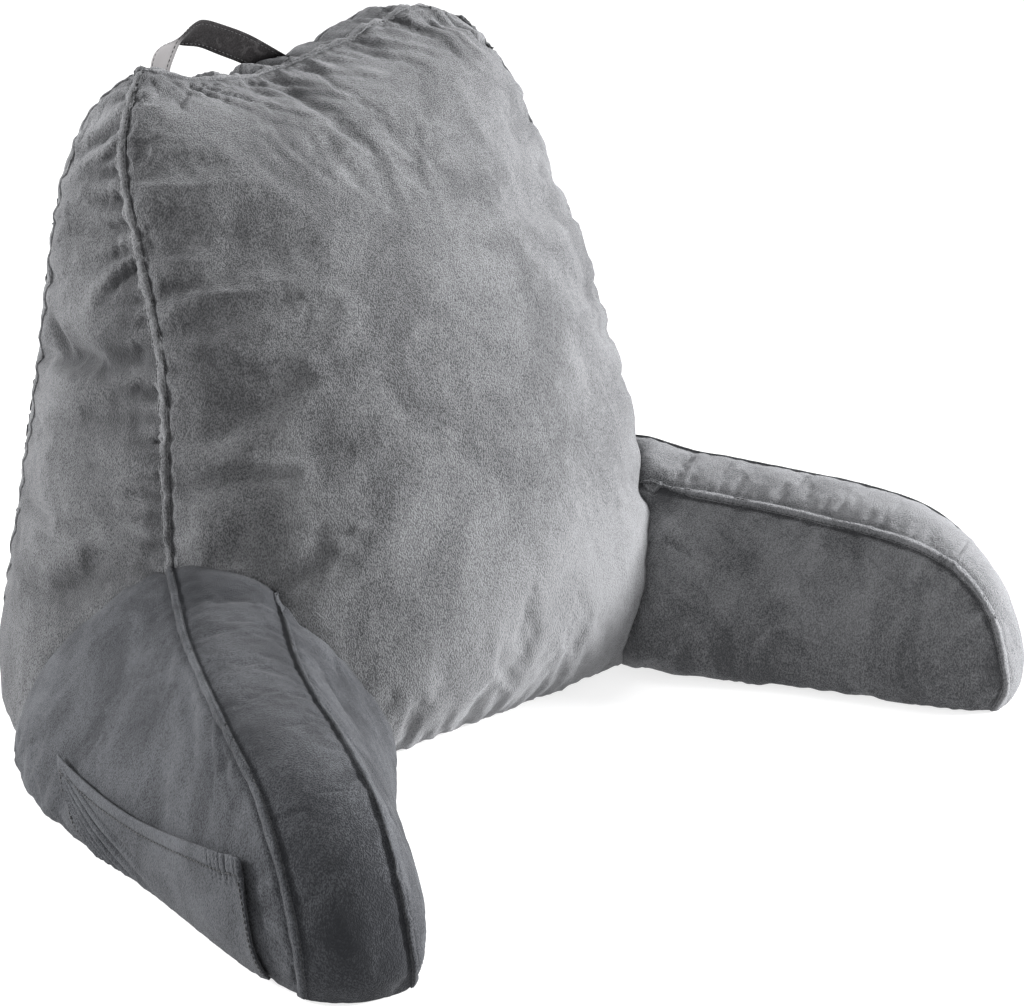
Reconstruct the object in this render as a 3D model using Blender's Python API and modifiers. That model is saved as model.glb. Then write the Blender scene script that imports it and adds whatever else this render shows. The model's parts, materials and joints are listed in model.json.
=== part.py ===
"""Backrest pillow: a filled back cushion with two filled arms, a strap handle and a patch pocket.

Metres, +Z up. The pillow stands on z = 0. The face a sitter leans on looks towards -Y, the
arms reach towards -Y, and the back cushion is symmetrical about x = 0 apart from its folds.
Depths in the tables are measured from the foot of the leaning face, and CENTRE_X and CENTRE_Y
then move the whole pillow so that its box is centred on the origin.
"""
import math
from collections import namedtuple

import bmesh
import bpy
from mathutils import Vector

CENTRE_X = 0.0014
CENTRE_Y = -0.0655
SEAT_GAP = 0.0003
CUTTER_DROP = 0.010

# The back cushion's crowns: a lower power gives a fuller, flatter panel.
FLOOR_ROUNDNESS = 0.45
FRONT_ROUNDNESS = 0.62
BACK_ROUNDNESS = 0.60
FLOOR_ROUNDNESS_TOP = 0.12
GUSSET_BELLY = 1.25
TOP_SWELL = 0.007
TOP_SWELL_FROM = 0.92
TOP_EDGE_FROM = 0.70

# How finely each piece is cut, along, through and up it.
BACKREST_CUTS = (29, 11, 31)
ARM_CUTS = (17, 7, 13)
POCKET_CUTS = (20, 8)
HANDLE_CUTS = (30, 3, 1)

# The arms' crowns; the panels are fuller towards the root, and their belly hangs low.
STRIP_CROWN = 0.009
ARM_OUTER_SWELL = 0.018
ARM_INNER_SWELL = 0.020
ROOT_OUTER_SWELL = 0.034
ROOT_INNER_SWELL = 0.014
ROOT_FADE = 0.45
PANEL_LOW_BELLY = 0.62

# Folds keep their depth at the middle, part of it at their ends, and none on the floor.
FOLD_END_SHARE = 0.4
FOLD_FLOOR_FADE = 0.020

POCKET_THICKNESS = 0.0022
POCKET_STANDOFF = 0.0009
POCKET_SLACK = 0.0022
POCKET_FOOT_LIFT = 0.004
POCKET_FOOT_RISE = 0.03

HANDLE_WIDTH = 0.024
HANDLE_THICKNESS = 0.0032

# Share of a table's length over which a direction along it is read.
SLOPE_STEP = 0.02

CHARCOAL = (0.105, 0.107, 0.112, 1.0)
CHARCOAL_DARK = (0.070, 0.073, 0.080, 1.0)
STRAP_GREY = (0.145, 0.142, 0.142, 1.0)
PILE_ROUGHNESS = 0.95

# One row for each height of the back cushion: the front corner seam, how far the leaning face
# stands in front of it, the back corner seam, and how far the side gusset swells outwards.
Level = namedtuple(
    "Level", "front_z seam_half seam_y crown back_z back_half back_y back_crown swell"
)
BACKREST_LEVELS = [
    Level(0.000, 0.248, 0.045, 0.021, 0.000, 0.247, 0.334, 0.012, 0.058),
    Level(0.022, 0.246, 0.075, 0.073, 0.020, 0.252, 0.345, 0.018, 0.052),
    Level(0.060, 0.242, 0.102, 0.114, 0.058, 0.250, 0.345, 0.024, 0.043),
    Level(0.110, 0.236, 0.113, 0.123, 0.108, 0.245, 0.338, 0.028, 0.034),
    Level(0.160, 0.229, 0.124, 0.120, 0.157, 0.239, 0.328, 0.030, 0.026),
    Level(0.220, 0.222, 0.133, 0.108, 0.216, 0.232, 0.317, 0.030, 0.021),
    Level(0.280, 0.212, 0.146, 0.097, 0.275, 0.224, 0.307, 0.029, 0.018),
    Level(0.338, 0.205, 0.167, 0.090, 0.331, 0.216, 0.301, 0.027, 0.016),
    Level(0.380, 0.200, 0.190, 0.082, 0.372, 0.208, 0.299, 0.024, 0.014),
    Level(0.420, 0.195, 0.209, 0.070, 0.411, 0.196, 0.298, 0.020, 0.012),
    Level(0.450, 0.186, 0.222, 0.054, 0.440, 0.180, 0.299, 0.014, 0.010),
    Level(0.474, 0.170, 0.235, 0.033, 0.463, 0.158, 0.300, 0.008, 0.007),
    Level(0.492, 0.152, 0.247, 0.000, 0.479, 0.130, 0.299, 0.000, 0.004),
]

# The top edge from one ear to the other: it sags on the handle's side and humps on the other.
TopEdge = namedtuple("TopEdge", "rise")
TOP_EDGE = [
    TopEdge(0.000), TopEdge(-0.010), TopEdge(-0.014), TopEdge(-0.012), TopEdge(-0.005),
    TopEdge(0.006), TopEdge(0.019), TopEdge(0.026), TopEdge(0.013),
]

# An arm's top strip, from the root inside the back cushion to the floor at the tip: its two
# seams side by side. The first rows lie along the top and the rest wrap down over the tip.
Strip = namedtuple("Strip", "outer_x outer_y outer_z inner_x inner_y inner_z")
STRIP_TOP = [
    Strip(0.205, 0.180, 0.156, 0.150, 0.110, 0.150),
    Strip(0.235, 0.117, 0.157, 0.178, 0.063, 0.148),
    Strip(0.260, 0.068, 0.148, 0.199, 0.028, 0.140),
    Strip(0.281, 0.027, 0.145, 0.217, -0.004, 0.137),
    Strip(0.303, -0.024, 0.142, 0.238, -0.045, 0.134),
    Strip(0.320, -0.067, 0.139, 0.254, -0.085, 0.131),
    Strip(0.334, -0.106, 0.134, 0.267, -0.122, 0.129),
    Strip(0.342, -0.136, 0.124, 0.279, -0.157, 0.124),
    Strip(0.347, -0.158, 0.109, 0.288, -0.187, 0.114),
]
STRIP_FRONT = [
    Strip(0.347, -0.158, 0.109, 0.288, -0.187, 0.114),
    Strip(0.352, -0.176, 0.090, 0.294, -0.209, 0.095),
    Strip(0.355, -0.190, 0.067, 0.298, -0.224, 0.071),
    Strip(0.357, -0.200, 0.043, 0.299, -0.233, 0.045),
    Strip(0.357, -0.203, 0.020, 0.299, -0.238, 0.020),
    Strip(0.352, -0.198, 0.000, 0.295, -0.231, 0.000),
]

# Where the arm's two side panels meet the floor, from the root to the tip.
Foot = namedtuple("Foot", "outer_x outer_y inner_x inner_y")
ARM_FOOT = [
    Foot(0.262, 0.262, 0.128, 0.075),
    Foot(0.318, 0.212, 0.140, 0.012),
    Foot(0.341, 0.160, 0.163, -0.030),
    Foot(0.352, 0.108, 0.184, -0.064),
    Foot(0.353, 0.052, 0.204, -0.094),
    Foot(0.349, -0.004, 0.224, -0.126),
    Foot(0.350, -0.060, 0.243, -0.158),
    Foot(0.353, -0.112, 0.261, -0.190),
    Foot(0.355, -0.160, 0.279, -0.216),
    Foot(0.352, -0.198, 0.295, -0.231),
]

# The strap's two edges, from the end under the left ear to the end on the right. It rises
# flat, twists at the top and comes down on its edge.
Strap = namedtuple("Strap", "near_x near_y near_z far_x far_y far_z")
HANDLE_PATH = [
    Strap(-0.118, 0.268, 0.462, -0.120, 0.292, 0.464),
    Strap(-0.117, 0.268, 0.481, -0.119, 0.292, 0.485),
    Strap(-0.111, 0.269, 0.497, -0.111, 0.292, 0.497),
    Strap(-0.101, 0.271, 0.508, -0.101, 0.291, 0.501),
    Strap(-0.088, 0.275, 0.517, -0.090, 0.290, 0.499),
    Strap(-0.073, 0.279, 0.518, -0.077, 0.290, 0.496),
    Strap(-0.054, 0.281, 0.512, -0.060, 0.289, 0.489),
    Strap(-0.030, 0.282, 0.501, -0.037, 0.289, 0.480),
    Strap(-0.005, 0.281, 0.487, -0.012, 0.290, 0.466),
    Strap(0.016, 0.280, 0.474, 0.010, 0.291, 0.454),
]

# The folds that show from a step away: a soft trough in the cloth between two points, its
# half width and its depth. A negative depth is a ridge.
Fold = namedtuple("Fold", "from_x from_y from_z to_x to_y to_z width depth")
BACKREST_FOLDS = [
    Fold(-0.233, 0.266, 0.296, -0.230, 0.212, 0.288, 0.022, 0.007),
    Fold(-0.230, 0.212, 0.288, -0.208, 0.160, 0.302, 0.020, 0.004),
    Fold(-0.272, 0.236, 0.110, -0.242, 0.152, 0.140, 0.026, 0.006),
    Fold(-0.245, 0.250, 0.236, -0.217, 0.150, 0.258, 0.022, 0.003),
    Fold(-0.215, 0.262, 0.370, -0.202, 0.196, 0.362, 0.022, 0.003),
    Fold(0.232, 0.262, 0.280, 0.222, 0.190, 0.272, 0.022, 0.006),
    Fold(0.268, 0.236, 0.120, 0.244, 0.156, 0.142, 0.026, 0.006),
    Fold(0.212, 0.262, 0.380, 0.202, 0.200, 0.366, 0.022, 0.003),
    Fold(0.070, 0.262, 0.512, 0.110, 0.200, 0.480, 0.020, 0.005),
    Fold(0.108, 0.256, 0.520, 0.128, 0.216, 0.490, 0.016, 0.003),
    Fold(0.034, 0.262, 0.500, 0.050, 0.206, 0.478, 0.018, 0.003),
    Fold(-0.062, 0.258, 0.480, -0.040, 0.206, 0.464, 0.018, 0.003),
    Fold(0.090, 0.330, 0.300, -0.060, 0.334, 0.250, 0.045, 0.005),
    Fold(-0.110, 0.332, 0.190, 0.020, 0.360, 0.130, 0.040, 0.004),
]
ARM_FOLDS = [
    Fold(0.178, 0.052, 0.156, 0.200, 0.020, 0.118, 0.020, 0.004),
    Fold(0.203, 0.050, 0.158, 0.236, 0.050, 0.156, 0.016, 0.003),
    Fold(0.182, -0.004, 0.102, 0.208, -0.058, 0.086, 0.020, 0.003),
    Fold(0.345, 0.120, 0.020, 0.330, 0.060, 0.080, 0.022, 0.004),
    Fold(0.350, -0.060, 0.018, 0.345, -0.020, 0.090, 0.020, 0.003),
]

# The pocket's outline on the outer panel, from its rear end towards the tip: how far along the
# panel its mouth and its foot lie, and how high up the mouth is.
Mouth = namedtuple("Mouth", "along foot_along rise")
POCKET_MOUTH = [
    Mouth(0.31, 0.50, 0.345), Mouth(0.40, 0.55, 0.350), Mouth(0.48, 0.60, 0.365),
    Mouth(0.56, 0.66, 0.390), Mouth(0.64, 0.72, 0.445), Mouth(0.72, 0.79, 0.510),
    Mouth(0.79, 0.86, 0.565), Mouth(0.86, 0.92, 0.630),
]


def lerp(start, end, share):
    """Point or number that lies the given share of the way from start to end."""
    return start + (end - start) * share


def smoothstep(low, high, value):
    """Zero below low, one above high, and a soft step between them."""
    share = min(1.0, max(0.0, (value - low) / (high - low)))
    return share * share * (3.0 - 2.0 * share)


def read_table(rows, share):
    """Row of a table at a share of its length, on a smooth curve through its rows."""
    place = min(max(share, 0.0), 1.0) * (len(rows) - 1)
    index = min(int(place), len(rows) - 2)
    t = place - index
    before = rows[max(index - 1, 0)]
    start, end = rows[index], rows[index + 1]
    after = rows[min(index + 2, len(rows) - 1)]
    values = []
    for p0, p1, p2, p3 in zip(before, start, end, after):
        slope_in, slope_out = (p2 - p0) / 2.0, (p3 - p1) / 2.0
        values.append(
            (2 * t**3 - 3 * t**2 + 1) * p1 + (t**3 - 2 * t**2 + t) * slope_in
            + (3 * t**2 - 2 * t**3) * p2 + (t**3 - t**2) * slope_out
        )
    return type(start)(*values)


def placed(x, y, z):
    """Point of the tables, moved to where the centred pillow has it."""
    return Vector((x + CENTRE_X, y + CENTRE_Y, z))


def leaning_face(across, level, roundness):
    """Point of the leaning face: across runs from -1 to 1, level is a row of heights."""
    crown = level.crown * (1.0 - across * across) ** roundness
    return placed(across * level.seam_half, level.seam_y - crown, level.front_z)


def back_face(across, level):
    """Point of the back panel, which is crowned the other way."""
    crown = level.back_crown * (1.0 - across * across) ** BACK_ROUNDNESS
    return placed(across * level.back_half, level.back_y + crown, level.back_z)


def backrest_point(u, v, w):
    """Where a point of the unit cube lies on the back cushion.

    u runs across, v from the leaning face to the back panel, and w from the floor to the top.
    """
    across = math.sin(0.5 * math.pi * u)
    height = (w + 1.0) / 2.0
    level = read_table(BACKREST_LEVELS, height)
    depth = (v + 1.0) / 2.0
    roundness = lerp(FLOOR_ROUNDNESS, FRONT_ROUNDNESS, smoothstep(0.0, FLOOR_ROUNDNESS_TOP, height))
    point = lerp(leaning_face(across, level, roundness), back_face(across, level), depth)
    belly = math.sin(math.pi * depth**GUSSET_BELLY)
    point.x += across * level.swell * belly
    point.z += TOP_SWELL * belly * smoothstep(TOP_SWELL_FROM, 1.0, height) * (1.0 - across**4)
    edge_rise = read_table(TOP_EDGE, (across + 1.0) / 2.0).rise
    point.z += edge_rise * smoothstep(TOP_EDGE_FROM, 1.0, height)
    return point


def strip_row(along, up):
    """Row of the arm's top strip nearest to a point of the side panel."""
    if up >= along:
        return read_table(STRIP_TOP, along)
    return read_table(STRIP_FRONT, 1.0 - up)


def seam_point(row, outer):
    """One end of a strip row as a point."""
    if outer:
        return placed(row.outer_x, row.outer_y, row.outer_z)
    return placed(row.inner_x, row.inner_y, row.inner_z)


def foot_point(along, outer):
    """Point where a side panel meets the floor."""
    foot = read_table(ARM_FOOT, along)
    return placed(foot.outer_x, foot.outer_y, 0.0) if outer else placed(foot.inner_x, foot.inner_y, 0.0)


def side_panel(along, up, outer):
    """Point of an arm's side panel, stretched between its seams, its foot and its root."""
    top = seam_point(read_table(STRIP_TOP, along), outer)
    front = seam_point(read_table(STRIP_FRONT, 1.0 - up), outer)
    foot = foot_point(along, outer)
    root = lerp(foot_point(0.0, outer), seam_point(STRIP_TOP[0], outer), up)
    tip = seam_point(STRIP_TOP[-1], outer)
    toe = seam_point(STRIP_FRONT[-1], outer)
    low, high = foot_point(0.0, outer), seam_point(STRIP_TOP[0], outer)
    corners = lerp(lerp(low, high, up), lerp(toe, tip, up), along)
    point = lerp(foot, top, up) + lerp(root, front, along) - corners
    strip = read_table(STRIP_TOP, along)
    across = seam_point(strip, True) - seam_point(strip, False)
    across.z = 0.0
    belly = math.sin(math.pi * up**PANEL_LOW_BELLY) * (1.0 - along**5)
    rooted = 1.0 - smoothstep(0.0, ROOT_FADE, along)
    if outer:
        swell = ARM_OUTER_SWELL + ROOT_OUTER_SWELL * rooted * up
    else:
        swell = -ARM_INNER_SWELL - ROOT_INNER_SWELL * rooted
    return point + across.normalized() * swell * belly


def strip_normal(along, up):
    """Direction in which the top strip is crowned: up along the top, forwards at the tip."""
    if up >= along:
        first = read_table(STRIP_TOP, along - SLOPE_STEP)
        second = read_table(STRIP_TOP, along + SLOPE_STEP)
    else:
        first = read_table(STRIP_FRONT, 1.0 - up - SLOPE_STEP)
        second = read_table(STRIP_FRONT, 1.0 - up + SLOPE_STEP)
    run = seam_point(second, True) + seam_point(second, False)
    run -= seam_point(first, True) + seam_point(first, False)
    row = strip_row(along, up)
    return run.cross(seam_point(row, True) - seam_point(row, False)).normalized()


def arm_point(u, v, w):
    """Where a point of the unit cube lies on the right arm.

    u runs from the root to the tip, v from the inner to the outer panel, w from the floor up.
    """
    along, up = (u + 1.0) / 2.0, (w + 1.0) / 2.0
    point = lerp(side_panel(along, up, False), side_panel(along, up, True), (v + 1.0) / 2.0)
    crown = STRIP_CROWN * (1.0 - v * v) * max(along, up) ** 4
    point += strip_normal(along, up) * crown
    point.z = max(point.z, 0.0)
    return point


def fold_depth(point, folds):
    """How far the cloth is drawn in at a point by the folds around it."""
    depth = 0.0
    for fold in folds:
        start = placed(fold.from_x, fold.from_y, fold.from_z)
        run = placed(fold.to_x, fold.to_y, fold.to_z) - start
        share = min(1.0, max(0.0, (point - start).dot(run) / run.length_squared))
        away = (point - start - run * share).length / fold.width
        fullness = lerp(FOLD_END_SHARE, 1.0, math.sin(math.pi * share))
        depth += fold.depth * math.exp(-2.0 * away * away) * fullness
    return depth


def mapped_box(name, cuts, shape, material, folds=(), mirrored=False):
    """Object made from a cube that is cut into a grid and carried onto a shape."""
    mesh = bpy.data.meshes.new(name)
    cube = bmesh.new()
    bmesh.ops.create_cube(cube, size=2.0)
    for axis, count in enumerate(cuts):
        edges = [
            edge for edge in cube.edges
            if abs(edge.verts[0].co[axis] - edge.verts[1].co[axis]) > 0.5
        ]
        bmesh.ops.subdivide_edges(cube, edges=edges, cuts=count, use_grid_fill=True)
    for vert in cube.verts:
        vert.co = shape(*vert.co)
    if cube.calc_volume(signed=True) < 0.0:
        bmesh.ops.reverse_faces(cube, faces=cube.faces)
    cube.normal_update()
    drawn = [(vert, vert.normal * fold_depth(vert.co, folds)) for vert in cube.verts]
    for vert, inward in drawn:
        vert.co -= inward * smoothstep(0.0, FOLD_FLOOR_FADE, vert.co.z)
    if mirrored:
        mirror_across(cube)
    # Triangles, so that a piece and the cutter that seats its neighbour agree on every face.
    bmesh.ops.triangulate(cube, faces=cube.faces)
    cube.to_mesh(mesh)
    cube.free()
    mesh.materials.append(material)
    mesh.shade_smooth()
    piece = bpy.data.objects.new(name, mesh)
    PARTS.objects.link(piece)
    return piece


def mirror_across(shape):
    """Turn a right-hand piece into the left-hand one, which lies across x = 0 in the tables."""
    for vert in shape.verts:
        vert.co.x = 2.0 * CENTRE_X - vert.co.x
    bmesh.ops.reverse_faces(shape, faces=shape.faces)


def cloth(name, colour):
    """Principled material of short pile in one colour."""
    material = bpy.data.materials.new(name)
    material.use_nodes = True
    shader = material.node_tree.nodes["Principled BSDF"]
    shader.inputs["Base Color"].default_value = colour
    shader.inputs["Roughness"].default_value = PILE_ROUGHNESS
    shader.inputs["Metallic"].default_value = 0.0
    return material


def swollen_copy(source):
    """Cutter that is the source grown by the gap that touching pieces keep, and run on downwards."""
    cutter = bpy.data.objects.new(source.name + "_cutter", source.data.copy())
    CUTTERS.objects.link(cutter)
    shape = bmesh.new()
    shape.from_mesh(cutter.data)
    underside = [face for face in shape.faces if max(vert.co.z for vert in face.verts) < SEAT_GAP]
    lowered = bmesh.ops.extrude_face_region(shape, geom=underside)["geom"]
    bmesh.ops.translate(
        shape,
        vec=(0.0, 0.0, -CUTTER_DROP),
        verts=[item for item in lowered if isinstance(item, bmesh.types.BMVert)],
    )
    bmesh.ops.delete(shape, geom=underside, context="FACES_ONLY")
    shape.to_mesh(cutter.data)
    shape.free()
    grow = cutter.modifiers.new("Grow", "DISPLACE")
    grow.strength = SEAT_GAP
    grow.mid_level = 0.0
    cutter.hide_render = True
    cutter.display_type = "WIRE"
    return cutter


def cut_away(piece, cutter):
    """Take the cutter's volume out of a piece."""
    cut = piece.modifiers.new("Seat", "BOOLEAN")
    cut.operation = "DIFFERENCE"
    cut.solver = "EXACT"
    cut.object = cutter


def pocket_point(u, v):
    """Where a point of a flat grid lies on the pocket: u from rear to tip, v from foot to mouth."""
    share = (u + 1.0) / 2.0
    mouth = read_table(POCKET_MOUTH, share)
    height = (v + 1.0) / 2.0
    up = lerp(POCKET_FOOT_RISE, mouth.rise, height)
    along = lerp(mouth.foot_along, mouth.along, height)
    point = side_panel(along, up, True)
    ahead = side_panel(along + SLOPE_STEP, up, True) - side_panel(along - SLOPE_STEP, up, True)
    above = side_panel(along, up + SLOPE_STEP, True) - side_panel(along, up - SLOPE_STEP, True)
    normal = above.cross(ahead).normalized()
    gape = POCKET_SLACK * smoothstep(-0.2, 1.0, v) * math.sin(math.pi * share) ** 0.5
    point += normal * (POCKET_STANDOFF + gape)
    point.z = max(point.z, POCKET_FOOT_LIFT)
    return point


def build_pocket(material):
    """Patch pocket on the left arm's outer panel: one layer of cloth, open along the top."""
    mesh = bpy.data.meshes.new("pocket")
    sheet = bmesh.new()
    bmesh.ops.create_grid(sheet, x_segments=POCKET_CUTS[0], y_segments=POCKET_CUTS[1], size=1.0)
    for vert in sheet.verts:
        vert.co = pocket_point(vert.co.x, vert.co.y)
    mirror_across(sheet)
    sheet.normal_update()
    if sum(face.normal.x * face.calc_area() for face in sheet.faces) > 0.0:
        bmesh.ops.reverse_faces(sheet, faces=sheet.faces)
    sheet.to_mesh(mesh)
    sheet.free()
    mesh.materials.append(material)
    mesh.shade_smooth()
    piece = bpy.data.objects.new("pocket", mesh)
    PARTS.objects.link(piece)
    wall = piece.modifiers.new("Cloth", "SOLIDIFY")
    wall.thickness = POCKET_THICKNESS
    wall.offset = 1.0
    return piece


def strap_edges(share):
    """The strap's near and far edge at a share of its length."""
    row = read_table(HANDLE_PATH, share)
    return placed(row.near_x, row.near_y, row.near_z), placed(row.far_x, row.far_y, row.far_z)


def handle_point(u, v, w):
    """Where a point of the unit cube lies on the strap: u along it, v across it, w through it."""
    share = (u + 1.0) / 2.0
    near, far = strap_edges(share)
    width = (far - near).normalized()
    run = sum(strap_edges(share + SLOPE_STEP), Vector()) - sum(strap_edges(share - SLOPE_STEP), Vector())
    through = run.cross(width).normalized()
    middle = (near + far) / 2.0
    return middle + width * (v * HANDLE_WIDTH / 2.0) + through * (w * HANDLE_THICKNESS / 2.0)


for old in list(bpy.data.objects):
    bpy.data.objects.remove(old, do_unlink=True)

PARTS = bpy.data.collections.new("backrest_pillow")
CUTTERS = bpy.data.collections.new("cutters")
bpy.context.scene.collection.children.link(PARTS)
bpy.context.scene.collection.children.link(CUTTERS)

backrest_pile = cloth("backrest_pile", CHARCOAL)
backrest = mapped_box("backrest", BACKREST_CUTS, backrest_point, backrest_pile, BACKREST_FOLDS)
seat = swollen_copy(backrest)
arm_pile = cloth("arm_pile", CHARCOAL_DARK)
for side, mirrored in (("left", True), ("right", False)):
    arm = mapped_box("arm_" + side, ARM_CUTS, arm_point, arm_pile, ARM_FOLDS, mirrored)
    cut_away(arm, seat)
build_pocket(cloth("pocket_pile", CHARCOAL_DARK))
handle = mapped_box("handle", HANDLE_CUTS, handle_point, cloth("strap_pile", STRAP_GREY))
cut_away(handle, seat)
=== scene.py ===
"""Backrest pillow in short charcoal plush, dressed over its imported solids.

The pillow is a filled back cushion with two filled arms, a strap handle and a patch pocket. Each
cushion is a closed shell that is cut from a cube, carried onto the shape its panels give it, and
filled by a cloth simulation. The topstitched seams, the puckers beside them, the pocket and the
strap are then added over it. Metres, +Z up, with every object at the origin.
"""
from __future__ import annotations

import json
import logging
import math
from dataclasses import dataclass, field
from enum import Enum
from typing import Callable, NamedTuple, Sequence

import bmesh
import bpy
import numpy as np
from mathutils import Matrix, Vector, noise
from mathutils.bvhtree import BVHTree
from mathutils.kdtree import KDTree

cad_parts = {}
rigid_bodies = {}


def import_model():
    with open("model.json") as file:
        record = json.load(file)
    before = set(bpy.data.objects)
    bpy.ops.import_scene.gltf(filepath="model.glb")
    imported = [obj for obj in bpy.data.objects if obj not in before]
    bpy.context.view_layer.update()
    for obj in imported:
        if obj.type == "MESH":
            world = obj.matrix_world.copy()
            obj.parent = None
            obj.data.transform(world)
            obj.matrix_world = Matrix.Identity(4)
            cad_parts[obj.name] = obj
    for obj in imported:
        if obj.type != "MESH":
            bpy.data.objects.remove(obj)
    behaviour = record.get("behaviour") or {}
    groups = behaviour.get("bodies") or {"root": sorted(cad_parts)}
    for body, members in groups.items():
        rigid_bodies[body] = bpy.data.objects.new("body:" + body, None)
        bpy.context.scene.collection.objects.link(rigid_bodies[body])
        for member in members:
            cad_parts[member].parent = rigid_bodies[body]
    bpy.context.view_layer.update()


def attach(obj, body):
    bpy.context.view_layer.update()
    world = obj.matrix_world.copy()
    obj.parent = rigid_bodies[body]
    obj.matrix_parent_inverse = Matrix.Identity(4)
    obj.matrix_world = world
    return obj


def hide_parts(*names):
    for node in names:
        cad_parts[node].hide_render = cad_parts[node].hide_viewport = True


LOG = logging.getLogger("backrest_pillow")

CENTRE_X = 0.0014
CENTRE_Y = -0.0655
SEAT_GAP = 0.0003
# Point attribute with painted light (above 0) and painted shade (below 0), which the pile's colour
# follows.
PAINTED_LIGHT_AND_SHADE = "nap"
ON_EDGE = 0.999
FLOOR_FADE = 0.020
NEAR_ZERO = 0.001
BELOW_FLOOR = -0.010
TABLE_STEP = 0.02
WHITE = (1.0, 1.0, 1.0, 1.0)


class Side(Enum):
    """Which arm a piece belongs to, seen by the sitter."""

    LEFT = "left"
    RIGHT = "right"


class Panel(Enum):
    """The sewn panels that a point of a cushion can lie on."""

    FRONT = "front"
    BACK = "back"
    SIDES = "sides"


# The tables below repeat the named sizes of the part's source.


class Level(NamedTuple):
    """One height of the back cushion: its corner seams, its crowns and its side swell."""

    front_z: float
    seam_half: float
    seam_y: float
    crown: float
    back_z: float
    back_half: float
    back_y: float
    back_crown: float
    swell: float


BACKREST_LEVELS = [Level(*row) for row in (
    (0.000, 0.248, 0.045, 0.021, 0.000, 0.247, 0.334, 0.012, 0.058),
    (0.022, 0.246, 0.075, 0.073, 0.020, 0.252, 0.345, 0.018, 0.052),
    (0.060, 0.242, 0.102, 0.114, 0.058, 0.250, 0.345, 0.024, 0.043),
    (0.110, 0.236, 0.113, 0.123, 0.108, 0.245, 0.338, 0.028, 0.034),
    (0.160, 0.229, 0.124, 0.120, 0.157, 0.239, 0.328, 0.030, 0.026),
    (0.220, 0.222, 0.133, 0.108, 0.216, 0.232, 0.317, 0.030, 0.021),
    (0.280, 0.212, 0.146, 0.097, 0.275, 0.224, 0.307, 0.029, 0.018),
    (0.338, 0.205, 0.167, 0.090, 0.331, 0.216, 0.301, 0.027, 0.016),
    (0.380, 0.200, 0.190, 0.082, 0.372, 0.208, 0.299, 0.024, 0.014),
    (0.420, 0.195, 0.209, 0.070, 0.411, 0.196, 0.298, 0.020, 0.012),
    (0.450, 0.186, 0.222, 0.054, 0.440, 0.180, 0.299, 0.014, 0.010),
    (0.474, 0.170, 0.235, 0.033, 0.463, 0.158, 0.300, 0.008, 0.007),
    (0.492, 0.152, 0.247, 0.000, 0.479, 0.130, 0.299, 0.000, 0.004),
)]

# How far the top edge rises above its level, from one ear to the other.
TOP_EDGE = [[rise] for rise in (0.000, -0.010, -0.014, -0.012, -0.005, 0.006, 0.019, 0.026, 0.013)]


class Strip(NamedTuple):
    """One cross row of an arm's top strip: the ends of the row lie on its two seams."""

    outer_x: float
    outer_y: float
    outer_z: float
    inner_x: float
    inner_y: float
    inner_z: float


STRIP_TOP = [Strip(*row) for row in (
    (0.205, 0.180, 0.156, 0.150, 0.110, 0.150),
    (0.235, 0.117, 0.157, 0.178, 0.063, 0.148),
    (0.260, 0.068, 0.148, 0.199, 0.028, 0.140),
    (0.281, 0.027, 0.145, 0.217, -0.004, 0.137),
    (0.303, -0.024, 0.142, 0.238, -0.045, 0.134),
    (0.320, -0.067, 0.139, 0.254, -0.085, 0.131),
    (0.334, -0.106, 0.134, 0.267, -0.122, 0.129),
    (0.342, -0.136, 0.124, 0.279, -0.157, 0.124),
    (0.347, -0.158, 0.109, 0.288, -0.187, 0.114),
)]
STRIP_FRONT = [Strip(*row) for row in (
    (0.347, -0.158, 0.109, 0.288, -0.187, 0.114),
    (0.352, -0.176, 0.090, 0.294, -0.209, 0.095),
    (0.355, -0.190, 0.067, 0.298, -0.224, 0.071),
    (0.357, -0.200, 0.043, 0.299, -0.233, 0.045),
    (0.357, -0.203, 0.020, 0.299, -0.238, 0.020),
    (0.352, -0.198, 0.000, 0.295, -0.231, 0.000),
)]


class Foot(NamedTuple):
    """Where an arm's two side panels meet the floor, at one place along it."""

    outer_x: float
    outer_y: float
    inner_x: float
    inner_y: float


ARM_FOOT = [Foot(*row) for row in (
    (0.262, 0.262, 0.128, 0.075),
    (0.318, 0.212, 0.140, 0.012),
    (0.341, 0.160, 0.163, -0.030),
    (0.352, 0.108, 0.184, -0.064),
    (0.353, 0.052, 0.204, -0.094),
    (0.349, -0.004, 0.224, -0.126),
    (0.350, -0.060, 0.243, -0.158),
    (0.353, -0.112, 0.261, -0.190),
    (0.355, -0.160, 0.279, -0.216),
    (0.352, -0.198, 0.295, -0.231),
)]


class Strap(NamedTuple):
    """The strap's near and far edge at one place along it."""

    near_x: float
    near_y: float
    near_z: float
    far_x: float
    far_y: float
    far_z: float


HANDLE_PATH = [Strap(*row) for row in (
    (-0.118, 0.268, 0.462, -0.120, 0.292, 0.464),
    (-0.117, 0.268, 0.481, -0.119, 0.292, 0.485),
    (-0.111, 0.269, 0.497, -0.111, 0.292, 0.497),
    (-0.101, 0.271, 0.508, -0.101, 0.291, 0.501),
    (-0.088, 0.275, 0.517, -0.090, 0.290, 0.499),
    (-0.073, 0.279, 0.518, -0.077, 0.290, 0.496),
    (-0.054, 0.281, 0.512, -0.060, 0.289, 0.489),
    (-0.030, 0.282, 0.501, -0.037, 0.289, 0.480),
    (-0.005, 0.281, 0.487, -0.012, 0.290, 0.466),
    (0.016, 0.280, 0.474, 0.010, 0.291, 0.454),
)]


class Fold(NamedTuple):
    """A trough in the cloth between two points; a negative depth is a ridge."""

    from_x: float
    from_y: float
    from_z: float
    to_x: float
    to_y: float
    to_z: float
    width: float
    depth: float


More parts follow.
